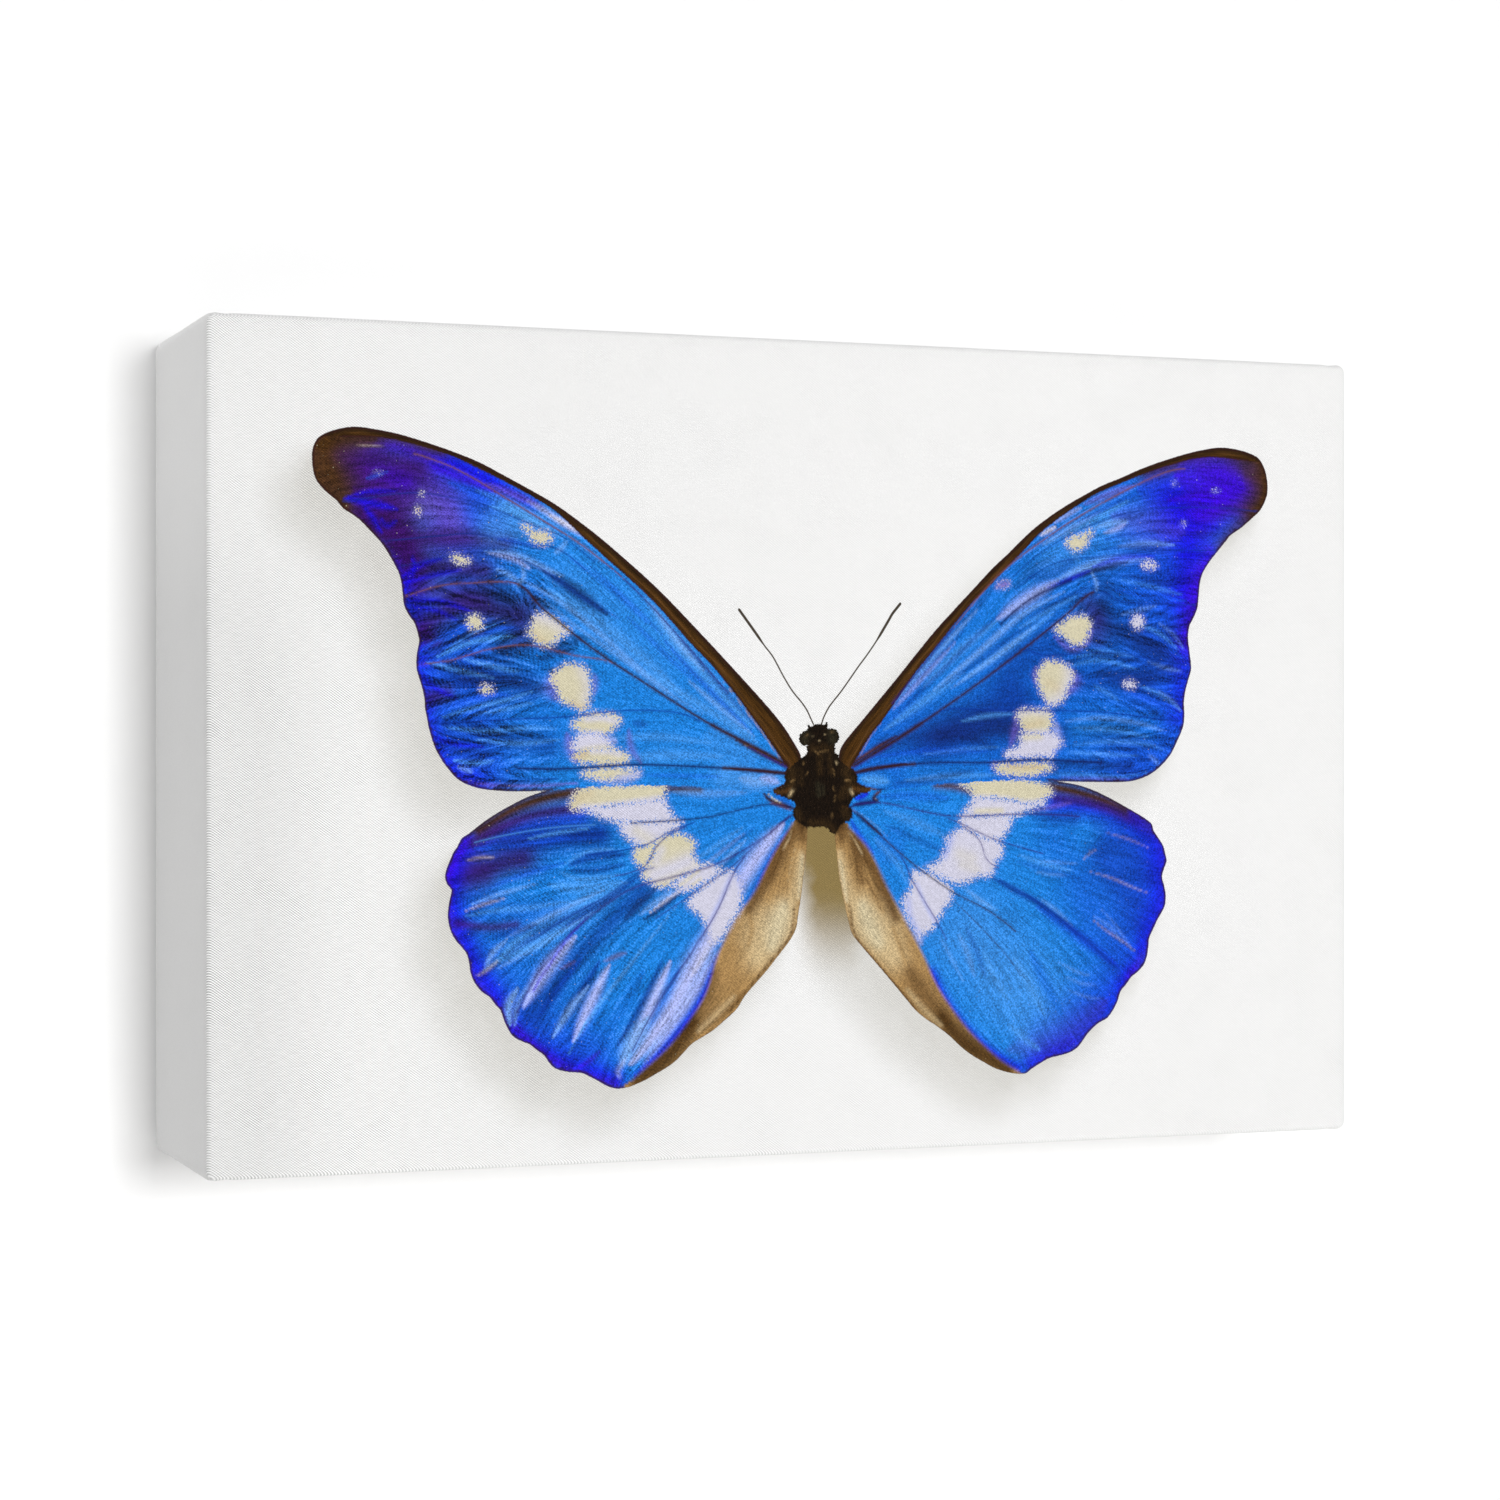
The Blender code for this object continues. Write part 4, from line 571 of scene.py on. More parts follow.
# Bare pale patches: colour, how solid, and an outline of where the blue scales are missing
PATCHES = {}
PATCHES["left fore"] = [
    ("cream", 1, (-56.8, 40.2, -55.4, 39.8, -54.6, 39.2, -52.6, 39, -51.4, 38.2, -51.8, 37.2, -53.2, 36.8,
    -54.8, 37.3, -55.4, 38.4, -56.2, 39.2)), ("cream", 0.9, (-70.2, 34.1, -69.2, 34.5, -67.6, 34, -66.6, 33.4,
    -67.4, 32.9, -69, 33)), ("cream", 0.9, (-67.2, 22.8, -66.2, 23.7, -65, 23.5, -64.4, 22.6, -64.6, 21.4,
    -65.6, 21, -66.8, 21.5)), ("cream", 0.8, (-64.8, 10.4, -63.8, 11.2, -62.5, 10.8, -62.4, 9.9, -63.4, 9.5,
    -64.4, 9.8)), ("cream", 1, (-55.8, 20.6, -55, 22.2, -54.4, 23.8, -52.8, 24.2, -51.4, 23.7, -49.8, 22.6,
    -48.2, 21.4, -47.9, 20.9, -49, 20.3, -50.2, 19.6, -51.2, 18.6, -52.4, 18.2, -53.8, 18.6, -54.6, 19.6)),
    ("cream", 1, (-51.2, 13.2, -50.2, 13.8, -49.4, 14.6, -48, 15.1, -46.6, 15, -45, 14.4, -44.2, 13.2,
    -43.9, 11.6, -43.8, 10, -44.2, 8.4, -44.4, 7.2, -45.4, 6.6, -46.6, 7.2, -47.8, 7.8, -49.2, 8.2, -50, 9.4,
    -50.4, 10.8, -51.4, 12)), ("cream", 1, (-47.4, 4.2, -46, 5.2, -44.4, 6, -42, 6.1, -40, 6, -38.6, 5.4,
    -38.2, 4.6, -39, 3.6, -40, 2.8, -41.4, 2.2, -44, 2.3, -46, 2.8, -47.2, 3.4)), ("snow", 0.95, (-46.6, 2.4,
    -44.6, 2.6, -42, 2.6, -41, 1.6, -40.2, 0.6, -39.3, -0.9, -41, -1.1, -44, -1.1, -46.4, -1.1, -47.6, 0,
    -46.8, 1.2)), ("cream", 1, (-47.2, -1.6, -46, -0.8, -44, -0.3, -41, -0.1, -39, -0.4, -37.6, -1,
    -36.8, -1.8, -36.8, -2.6, -38.6, -3.1, -41, -3.3, -43.6, -3.1, -45.4, -2.8, -46.8, -2.4)),
    ("cream", 0.85, (-45.6, -4.6, -44, -4.1, -42, -3.8, -39, -3.7, -36.8, -3.9, -34.8, -4.2, -34.2, -4.8,
    -35, -5.6, -37, -6.2, -40, -6.3, -43, -6, -45.4, -5.4)), ("sand", 0.5, (-77, 42, -76.6, 43.4, -75.8, 43.2,
    -75.6, 42, -76.2, 41.2)), ("sand", 0.45, (-76.2, 44.8, -75.9, 46, -75.2, 45.6, -75.4, 44.6)),
    ("sand", 0.3, (-84.6, 48.8, -83.8, 49.4, -82.6, 49, -83.6, 48.3))]
PATCHES["right fore"] = [
    ("cream", 1, (52.4, 39.4, 53.4, 40.4, 54.6, 40.9, 56.2, 41, 57.2, 41.9, 58, 41.5, 57, 40.2, 56.6, 39,
    55.2, 38.1, 53.6, 38.2)), ("snow", 0.9, (68.7, 35.4, 69.6, 36.1, 71, 36, 71.8, 35.3, 70.8, 34.7,
    69.4, 34.7)), ("snow", 0.9, (66.5, 24.4, 67.3, 25.5, 68.6, 25.4, 69.1, 24.3, 68.4, 23.2, 67.2, 23.1)),
    ("snow", 0.8, (64.7, 12.3, 65.6, 13, 66.9, 12.8, 67.5, 12.1, 66.6, 11.4, 65.3, 11.5)),
    ("cream", 1, (50, 22.6, 50.8, 23.4, 52, 24.2, 53, 24.9, 54.2, 25.3, 56, 25.3, 57, 24.8, 57.6, 23.6,
    57.2, 22.2, 56.6, 20.8, 55.6, 19.9, 54, 19.8, 53, 20.4, 52.2, 21.2, 51, 21.8)), ("cream", 1, (46.4, 14.6,
    47.2, 15.6, 48, 16.3, 50, 16.5, 51.6, 16.1, 52.8, 15.6, 53.6, 14.6, 53.8, 13.2, 53, 12, 52.6, 10.8,
    52, 9.6, 51.4, 8.8, 50.2, 8.2, 48.6, 8.2, 48, 9.2, 47.2, 10.2, 46.6, 11.6, 46.2, 13)),
    ("cream", 1, (41.8, 6, 42.4, 6.8, 43.6, 7.2, 46, 7.2, 48, 7.1, 49, 6.6, 49.4, 5.6, 49.2, 4.4, 49, 3,
    47.6, 2.5, 45.6, 2.6, 44, 2.8, 43.2, 3.4, 42.6, 4.4)), ("snow", 1, (43, 2.6, 46, 2.9, 49, 2.8, 51, 1.4,
    51.4, 0.6, 49.8, -0.4, 49.6, -1.6, 48, -1.8, 44, -2, 40.4, -2, 39.4, -1.4, 40.6, -0.6, 42.2, 0.2,
    42.6, 1.2)), ("cream", 0.8, (37, -3.6, 39, -3.1, 42, -2.9, 45, -2.8, 48, -2.9, 49.6, -3.4, 49.4, -4.4,
    47.4, -5.2, 45, -5.7, 42, -5.8, 39, -5.4, 37.4, -4.6)), ("mauve", 0.6, (37.2, 30.4, 38.6, 31.8,
    40.4, 31.9, 40.4, 30.8, 38.8, 30.2)), ("mauve", 0.5, (77, 43.4, 77.8, 44.2, 78.6, 43.8, 77.9, 43)),
    ("mauve", 0.5, (75.2, 51.1, 75.8, 52, 76.5, 51.6, 76, 50.9)), ("mauve", 0.5, (84, 50.2, 84.8, 50.8,
    85.8, 50.4, 84.9, 49.9))]
PATCHES["left hind"] = [
    ("cream", 1, (-47.4, -9.2, -46, -7.7, -43, -7.2, -38, -7, -33, -6.8, -29.8, -7, -29.4, -8.2, -30.2, -9.8,
    -33, -10.2, -36, -10.6, -40, -11, -44, -11.4, -47, -11.4, -47.8, -10.6)), ("snow", 1, (-46, -11.1,
    -42, -10.8, -38, -10.3, -34, -9.8, -30.2, -9.4, -29.2, -10.6, -28.4, -12, -28, -13, -26.6, -13.8,
    -30, -14, -35, -14, -38, -13.9, -40, -13.4, -42, -12.8, -44, -12)), ("snow", 1, (-38, -13.7, -35, -13.6,
    -30, -13.6, -26.4, -13.7, -27, -14.8, -28.6, -15.8, -30.4, -17.2, -32, -18.1, -34, -18.2, -35.6, -17.6,
    -37, -16.6, -38, -15.2)), ("cream", 1, (-35.2, -18.6, -33.4, -18.1, -31.4, -17.8, -31.8, -19.4,
    -32.8, -21.2, -33.8, -22.1, -34.8, -21.4, -35.6, -20.4, -35.4, -19.4)), ("cream", 1, (-31.4, -17.7,
    -29.6, -16.6, -28, -16, -26.2, -16.2, -24.6, -17, -23.6, -18, -24, -19.4, -23.6, -20.8, -22.6, -22,
    -22.6, -22.8, -24.6, -23.6, -26.6, -24.4, -28.4, -25.2, -30, -25.9, -31.4, -25.4, -33, -24.6,
    -33.9, -23.6, -33.4, -22.2, -32.4, -20.6, -31.8, -19.2)), ("snow", 0.8, (-22.6, -21.8, -20.4, -21.6,
    -18.8, -22.4, -18, -23, -20, -24.4, -22, -25.6, -24.2, -26.5, -26.4, -26.6, -28.4, -25.4, -26, -23.6)),
    ("snow", 1, (-18.2, -23.4, -16.6, -23, -15.4, -23.8, -14.4, -26, -14.6, -28, -15, -30.4, -16.4, -32.4,
    -17.6, -34.4, -18.8, -35.6, -20.2, -36.4, -20.8, -34.6, -21.6, -32.8, -22.6, -31.2, -23.8, -30.2,
    -25, -29, -24, -27.4, -22, -25.8, -20, -24.4))]
PATCHES["right hind"] = [
    ("cream", 1, (30.6, -6.7, 34, -6.2, 38, -6, 42, -6.1, 45.6, -6.6, 48, -7.3, 49.4, -8.2, 49, -9.2,
    47.6, -9.8, 47, -10.6, 44.4, -11, 41.4, -10.4, 38, -10, 35.4, -9.8, 33.2, -10, 32.6, -9, 31.8, -8,
    30.4, -7.4)), ("snow", 1, (32.8, -9.7, 36, -9.6, 40, -10, 43.4, -10.6, 46.8, -10.4, 47.8, -10.8,
    46, -11.6, 44, -12.2, 42, -13, 38, -13.3, 34, -13.3, 30.8, -12.9, 31.2, -11.8, 32.4, -11)),
    ("snow", 1, (30.6, -13, 34, -13.1, 40.4, -13, 40.6, -14.4, 40, -15.6, 39.2, -16.8, 38, -17.8, 36, -17.8,
    34.4, -17.4, 32.8, -16.6, 31.4, -15.6, 30, -14.4)), ("snow", 1, (29.6, -15.8, 31.2, -15.4, 32.8, -16.2,
    34.2, -17, 36.4, -17.5, 38.2, -18.2, 38.8, -19.6, 38.4, -21, 37.4, -22, 37, -23, 36.8, -24, 35.8, -24.6,
    34, -24.6, 32.6, -25.2, 31, -25.8, 29.6, -26, 28, -25.5, 26.4, -24.8, 24.6, -24, 23.2, -23.4, 23, -22.8,
    24.6, -22.2, 26, -21.6, 26.4, -20.4, 27.2, -19, 27, -17.8, 28.2, -16.6)), ("snow", 1, (20.4, -23.4,
    21.6, -23.8, 23.2, -23.8, 24.4, -24.4, 26.2, -25.6, 27.8, -26.8, 28.2, -28.4, 27.6, -29.6, 26.6, -30.6,
    26, -31.8, 25, -33, 24.2, -34.4, 22.6, -35.4, 21.4, -35.8, 20.4, -34.6, 19.2, -32.8, 18.4, -30.8,
    18.2, -29, 19, -27.8, 20, -26.8, 20, -25))]

# Warmer or cooler scales within the pale patches
PATCH_TONES = {}
PATCH_TONES["left fore"] = [
    ("snow", 0.6, 1.4, (-53.4, 23.6, -50.6, 22.6, -48.4, 21.2)), ("sand", 0.35, 0.9, (-54.4, 20.2,
    -52.6, 18.8)), ("snow", 0.45, 1.3, (-45.4, 14, -44.4, 11.4, -44.6, 8.4)), ("sand", 0.5, 0.6, (-47.4, 8,
    -45.6, 7, -44.6, 7.4)), ("snow", 0.8, 0.6, (-44.6, 5, -41.6, 5.2, -39.2, 4.6)),
    ("sand", 0.6, 0.7, (-46.4, -1.9, -44.8, -1.2)), ("snow", 0.7, 0.6, (-43.6, -0.8, -40.6, -0.9,
    -38.4, -1.4)), ("lavender", 0.7, 0.8, (-38.4, -6, -36, -5.4, -34.6, -4.8))]
PATCH_TONES["right fore"] = [
    ("snow", 0.6, 1.6, (53.2, 15, 53.2, 12.6, 51, 9.4, 49.4, 8.6)), ("sand", 0.3, 1, (48.6, 12.4,
    50.4, 11.4)), ("snow", 0.5, 0.8, (42.6, 6.2, 45, 6.8, 48, 6.4)), ("sand", 0.4, 0.8, (44, 3.8, 47, 4.8)),
    ("cream", 0.8, 0.7, (43.6, 1.8, 46.8, 2)), ("sand", 0.6, 0.7, (40, -3.6, 43, -4, 47, -3.8))]
PATCH_TONES["left hind"] = [
    ("sand", 0.35, 1, (-46.6, -9.6, -44, -8.6)), ("snow", 0.9, 1.7, (-31.6, -23.6, -28.6, -22.6, -25, -21.2)),
    ("cream", 0.5, 1.2, (-35, -15.4, -32.6, -17)), ("snow", 0.6, 0.9, (-30.2, -19, -31.2, -21)),
    ("cream", 0.8, 0.35, (-26.6, -25.6, -24.4, -24, -22.8, -22.8)), ("cream", 0.8, 0.3, (-24.4, -25.6,
    -22.6, -24.4)), ("lavender", 0.7, 0.5, (-16.6, -24, -18.2, -27.6, -20, -31, -21.2, -33.4)),
    ("lavender", 0.6, 0.8, (-15, -24, -14.4, -26))]
PATCH_TONES["right hind"] = [
    ("cream", 0.8, 0.6, (33.4, -12.3, 35.6, -12.2, 38.6, -12.2)), ("cream", 0.35, 1.4, (30, -20.4,
    32.4, -21.2)), ("cream", 0.3, 1, (33.4, -23.4, 30.4, -22.6)), ("lavender", 0.7, 0.8, (28, -17.6,
    26.8, -20.6)), ("lavender", 0.6, 0.7, (19.2, -29, 19.6, -32, 21.2, -35.2)),
    ("lavender", 0.6, 0.4, (21, -26, 22.6, -29.6, 24.6, -33))]

# The hindwing's inner margin is scaleless brown, with a paler hollow in its middle
MARGIN_TONES = {}
MARGIN_TONES["left hind"] = [
    ("sand", 0.9, 5, (-6.4, -31, -9.4, -35, -11, -39)), ("cream", 0.55, 2.4, (-6, -30, -7.4, -34, -8.4, -37)),
    ("sand", 0.7, 1.2, (-2.6, -20, -3.4, -25, -4.6, -30)), ("umber", 0.75, 1.6, (-4.6, -15.6, -7.6, -20.8,
    -10.6, -26, -13, -30.4)), ("umber", 0.5, 1.2, (-4, -16, -6, -20, -8.8, -25.4)), ("tan", 0.5, 1, (-5, -19,
    -6.2, -23, -9, -28)), ("earth", 0.8, 1.3, (-3.4, -12.6, -2.2, -15.2)), ("umber", 0.7, 1.3, (-3.2, -14,
    -2.2, -17.4)), ("cream", 0.5, 0.5, (-2.3, -20.4, -2.6, -24, -3.1, -28.4)),
    ("brown", 0.4, 0.2, (-4.6, -17.4, -5.6, -20.6, -5.8, -23)), ("brown", 0.35, 0.2, (-6.4, -19.6,
    -7.6, -22.6, -8.8, -25)), ("sand", 0.6, 0.16, (-4.4, -15.6, -5.4, -17.8, -6.2, -19.4)),
    ("sand", 0.35, 0.16, (-3.6, -18.4, -4.6, -22, -5.2, -25)), ("tan", 0.6, 0.5, (-13, -31, -12.4, -34,
    -13.2, -37)), ("tan", 0.7, 0.7, (-4.2, -35.2, -8, -40, -13, -45.6, -17, -50)),
    ("umber", 0.6, 2.4, (-20, -42, -22.6, -47, -26, -52)), ("brown", 0.9, 2.8, (-24, -51, -29, -56.6,
    -35, -61.4)), ("umber", 0.5, 1, (-14.4, -46, -18, -49.4, -22, -52)), ("sand", 0.5, 0.7, (-16, -46.4,
    -19.6, -49.6, -23, -52.6)), ("umber", 0.85, 0.25, (-4, -30, -4.3, -33.6, -5.2, -36, -9, -40.4, -13, -44.8,
    -17, -49.2)), ("umber", 0.6, 0.2, (-3.5, -33, -4.4, -35.2))]
MARGIN_TONES["right hind"] = [
    ("sand", 0.9, 5, (9.6, -30, 12.4, -34.6, 16, -39.6)), ("cream", 0.55, 2.2, (9.8, -30, 11.4, -34,
    13.2, -37)), ("sand", 0.7, 1.3, (5.2, -20, 6.4, -25, 8, -30)), ("umber", 0.8, 1.6, (8.6, -17, 11.8, -22.6,
    15.2, -29, 16.6, -32.4)), ("umber", 0.6, 1.3, (7, -15.6, 8.6, -20, 9.8, -25.6)),
    ("tan", 0.5, 1, (10.4, -23, 12, -27, 14, -31)), ("earth", 0.8, 1.3, (6, -13.4, 5, -15.6)),
    ("umber", 0.7, 1.3, (5.6, -14, 5.6, -17.4)), ("cream", 0.5, 0.5, (5.2, -21.4, 5.9, -25, 6.6, -29)),
    ("brown", 0.5, 0.22, (7.2, -16.4, 8.4, -20.6, 8.8, -25)), ("brown", 0.45, 0.22, (9.6, -20, 11.6, -23.8,
    13.2, -27)), ("sand", 0.6, 0.17, (7, -16, 8.8, -18.6, 9.8, -20.4)), ("umber", 0.5, 0.25, (10.6, -25,
    12.6, -28.6, 13.4, -30.6)), ("tan", 0.6, 0.5, (16, -34, 17.6, -38, 18.6, -41)),
    ("tan", 0.7, 0.7, (8.4, -36, 12.4, -40.6, 17, -46, 21, -50.6)), ("umber", 0.6, 2.4, (19.6, -42.6,
    22.4, -47, 27, -52)), ("brown", 0.9, 2.8, (26, -51.4, 31, -56.4, 40, -61.8)), ("sand", 0.5, 0.7, (19, -46,
    22.4, -49.8, 26, -53)), ("umber", 0.85, 0.25, (7.3, -30, 7.8, -33.6, 9, -36.6, 13, -41, 17, -45.6,
    21, -50)), ("umber", 0.6, 0.22, (6.9, -32.6, 7.8, -35.4))]

# Head and thorax, with the hair at the wing hinges
BODY_OUTLINES = [
    (-1.4, 0.2, -1.3, -0.7, -1.6, -1.3, -2.2, -1.9, -3, -2.4, -4.2, -3.4, -5, -4.2, -5.6, -5.2, -5.5, -6.2,
    -5.9, -7.1, -6.8, -7.7, -7.8, -8.3, -6.6, -8.8, -5.3, -9.4, -4.4, -9.8, -3.6, -10.3, -3.2, -10.9,
    -3.5, -11.5, -3.9, -12.1, -3.9, -12.8, -3.3, -13.6, -2.3, -14.2, -1.3, -14.9, 0, -15.1, 1.4, -15,
    2.6, -15.2, 3.2, -15.9, 3.9, -16.4, 4.4, -15.9, 4.9, -15.1, 5.3, -14.3, 6.4, -13.8, 7.2, -13.4,
    7.6, -12.7, 7.3, -12, 6.9, -11.5, 6.8, -10.9, 7.3, -10, 8.1, -9.2, 9.4, -8.5, 11.4, -8.1, 10.4, -7.8,
    9.2, -7.3, 8.5, -6.6, 8.4, -5.6, 8.1, -4.8, 7.3, -4.1, 6.2, -3.3, 5.2, -2.4, 4.9, -1.5, 4.2, -1, 4.1, 0.1,
    1.2, 0.8), (-1.5, 0.2, -2.5, 0.3, -3, 1.3, -2.8, 2.3, -2.2, 2.8, -1.4, 3.1, -1.3, 4, -1.4, 4.6, -0.8, 3.9,
    -0.2, 3.9, 0, 4.2, 0.8, 4.3, 1.6, 4.3, 2, 4.1, 2.5, 4.8, 2.8, 4.2, 2.8, 3.5, 3.9, 3.5, 4.8, 2.9, 5.1, 1.9,
    4.9, 1, 4.2, 0.4, 4.1, 0, 1.2, -0.4)]
BODY_TONES = [
    ("olive", 0.9, 0.9, (-1.9, 1, -1.7, 2.2)), ("olive", 0.9, 1, (3.8, 1.2, 3.7, 2.6)),
    ("tan", 0.16, 0.21, (-1.6, 2, -1.3, 2.3)), ("tan", 0.16, 0.21, (3.4, 2.8, 3.8, 2.7)),
    ("earth", 0.7, 0.8, (-0.6, -0.3, 1.2, -0.2, 3.2, -0.4)), ("tan", 0.4, 0.14, (0.2, -0.8, 0.9, -1.4)),
    ("tan", 0.36, 0.14, (1.1, -0.9, 2.7, -0.7)), ("sand", 0.43, 0.12, (-0.3, 2, -0.2, 1.9)),
    ("sand", 0.4, 0.12, (2.15, 2.35, 2.3, 2.3)), ("sand", 0.5, 0.14, (1, 1.1, 1.2, 1.1)),
    ("earth", 1, 1, (-4.4, -4.6, -4.4, -6.2, -4.8, -7.6)), ("earth", 1, 1.1, (6.4, -4.4, 7.2, -6.2,
    7.4, -8.4)), ("umber", 0.7, 0.5, (-4.9, -7.9, -6.4, -8.4, -7.6, -8.4)), ("umber", 0.8, 0.5, (8, -7.9,
    9.6, -8.1, 12, -8)), ("sand", 0.65, 0.31, (-4.4, -8.2, -4.9, -9.1)), ("sand", 0.58, 0.27, (7.4, -8,
    7.8, -8.9)), ("tan", 0.36, 0.19, (-4.7, -6.5, -4.1, -6.2)), ("tan", 0.47, 0.2, (6.4, -6.3, 7.2, -6.3)),
    ("sand", 0.54, 0.19, (4.5, -2.8, 4.6, -3.1)), ("tan", 0.29, 0.17, (-2.1, -2.9, -2.1, -3.3)),
    ("tan", 0.29, 0.17, (6.2, -2.8, 6.6, -3)), ("earth", 0.8, 0.6, (1.2, -1.8, 1.2, -4.8)),
    ("earth", 0.7, 0.5, (3.1, -1.8, 3.4, -4.8)), ("earth", 0.6, 0.4, (-2.6, -4.4, -2.4, -7.2)),
    ("tan", 0.3, 0.11, (-1.3, -4.6, -1.5, -5.4)), ("tan", 0.3, 0.11, (3.9, -4.2, 4.1, -5.6)),
    ("tan", 0.32, 0.13, (3.9, -7.5, 4.1, -8.2)), ("tan", 0.22, 0.13, (4.3, -9.2, 4.1, -10.4)),
    ("olive", 0.9, 0.5, (0.8, -7, 1, -9)), ("olive", 0.8, 0.35, (1.8, -7.4, 1.9, -8.8)),
    ("earth", 0.8, 0.7, (5.4, -9.4, 6, -8)), ("umber", 0.4, 0.2, (5.8, -11.2, 6.8, -11.6)),
    ("earth", 0.9, 0.7, (-3.4, -12, -2.8, -13.4)), ("earth", 0.8, 0.8, (6, -12, 6.8, -13.2)),
    ("earth", 0.8, 0.8, (-0.6, -14.2, 2.4, -14.4, 4, -15.6)), ("tan", 0.16, 0.26, (3.7, -12.6, 3.6, -13.2))]

FEELERS = [
    (-0.1, 4.2, -0.7, 5.4, -1.4, 6.8, -2.4, 8.2, -4, 10, -5.1, 11.5, -6.4, 13.6, -7.3, 15.2, -8.4, 17,
    -9.9, 18.8, -11.4, 20.8, -13, 22.9, -15, 25.5), (1.5, 4.2, 2, 5.6, 3, 7.4, 4.2, 8.9, 5.4, 10.3, 7.3, 12.8,
    9, 15.1, 10.9, 17.5, 12.9, 20.3, 15, 23.6, 16, 25.2, 17.6, 27.1)]
FEELER_HALF_WIDTH = 0.14
FEELER_TIP_HALF_WIDTH = 0.26
FEELER_TIP_SHARE = 0.76

COSTA_INNER = {}
COSTA_INNER["left fore"] = (
    -5.6, -3.6, -7.3, -1.3, -9.8, 2.2, -12.4, 5.5, -14.5, 8.2, -19.3, 13.9, -24.9, 19.5, -29.9, 24.8,
    -34.9, 29.5, -39.9, 33.6, -44.3, 37.3, -50, 42.3, -53.6, 44.6, -60, 47.8, -65.5, 50.3, -70, 52.2,
    -75, 53.6, -82, 55, -90, 55)
COSTA_INNER["right fore"] = (
    7.8, -3.6, 9.3, -1.2, 11.3, 1.9, 13.7, 4.7, 16.4, 8.2, 20.4, 13.6, 25, 18.9, 29.3, 23.9, 33, 27.9,
    36.8, 31.4, 40, 34.5, 43, 37.3, 46.1, 40.4, 50, 43.5, 56.1, 47.4, 60, 49.5, 68, 52.7, 75.5, 55.2,
    83, 56.8, 92, 56.4)


def smooth_line(points, spacing=0.8):
    """An even run of places along a curve through a run of x, z, x, z."""
    points = np.reshape(points, (-1, 2)).astype(float)
    ends = np.vstack([2 * points[0] - points[1], points, 2 * points[-1] - points[-2]])
    dense = []
    for a, b, c, d in zip(ends, ends[1:], ends[2:], ends[3:]):
        count = max(2, int(np.hypot(*(c - b)) / spacing) + 1)
        t = np.linspace(0, 1, count, endpoint=False)[:, None]
        dense.append(0.5 * (2 * b + (c - a) * t + (2 * a - 5 * b + 4 * c - d) * t ** 2
                            + (3 * b - a - 3 * c + d) * t ** 3))
    return np.vstack([*dense, points[-1:]])


def closed_line(points, spacing=0.6):
    """The same round a closed outline."""
    points = np.reshape(points, (-1, 2))
    dense = smooth_line((*points[-2:], *points, *points[:2]), spacing)
    from_start, half = np.hypot(*(dense - points[0]).T), len(dense) // 2
    return dense[np.argmin(from_start[:half]):half + np.argmin(from_start[half:]) + 1]


def along_line(places, line):
    """How far each place is from a line, on which side, and how far along it the nearest point is."""
    tree = KDTree(len(line))
    for number, (x, z) in enumerate(line.tolist()):
        tree.insert((x, z, 0), number)
    tree.balance()
    nearest = np.array([tree.find((x, z, 0))[1] for x, z in places.tolist()], int)
    runs = np.diff(line, axis=0)
    lengths = np.maximum(np.hypot(runs[:, 0], runs[:, 1]), 1e-6)
    travelled = np.concatenate([[0], np.cumsum(lengths)])
    gap, side, along = (np.full(len(places), value) for value in (1e9, 0.0, 0.0))
    for step in (-1, 0):
        piece = np.clip(nearest + step, 0, len(runs) - 1)
        run, away = runs[piece], places - line[piece]
        t = np.clip(np.sum(away * run, axis=1) / lengths[piece] ** 2, 0, 1)
        rest = away - t[:, None] * run
        distance = np.hypot(rest[:, 0], rest[:, 1])
        closer = distance < gap
        gap[closer] = distance[closer]
        side[closer] = np.sign(run[:, 0] * away[:, 1] - run[:, 1] * away[:, 0])[closer]
        along[closer] = (travelled[piece] + t * lengths[piece])[closer]
    return gap, side, along / travelled[-1]


def inside_by(places, outline):
    """How far inside a closed outline each place is; outside is negative."""
    gap, _, _ = along_line(places, outline)
    inside = np.zeros(len(places), bool)
    for (x0, z0), (x1, z1) in zip(outline, outline[1:]):
        crosses = (z0 > places[:, 1]) != (z1 > places[:, 1])
        if z1 != z0:
            inside ^= crosses & (places[:, 0] < (x1 - x0) * (places[:, 1] - z0) / (z1 - z0) + x0)
    return np.where(inside, gap, -gap)


def brushed(ink, places, colour, strength, width, points, taper=1.0):
    """Lays a soft stroke of one ink along a curve, thinner at its ends where it tapers."""
    line = smooth_line(points, max(0.5, width))
    reach = 3 * width
    near = np.all((places > line.min(axis=0) - reach) & (places < line.max(axis=0) + reach), axis=1)
    if not near.any():
        return
    gap, _, along = along_line(places[near], line)
    here = width * (taper + (1 - taper) * np.sin(np.pi * along) ** 0.7)
    weight = strength * np.exp(-(gap / np.maximum(here, 0.05)) ** 2)
    ink[near] += (colour - ink[near]) * weight[:, None]


# Printed canvas: the sheet
# Fine white-coated cotton canvas, pulled tight round the bars and folded in at the back. The
# picture is on its face only; the sides stay white, and the raw cloth shows inside the back.

low, high = (Vector(corner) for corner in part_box("printed_canvas"))
MIDDLE = (low + high) / 2
HALF_X, HALF_Z = (high.x - low.x) / 2 / MM, (high.z - low.z) / 2 / MM
FACE_Y, BACK_Y = low.y / MM, high.y / MM
CLOTH = 0.5
EDGE_RADIUS = 1.1
CORNER_RADIUS = 1.7
FLAP = 18.0
FOLD_REACH = 14.0
FOLD_WIDTH, FOLD_LEAN = 2.0, 8.0
SECOND_LAYER = 0.42

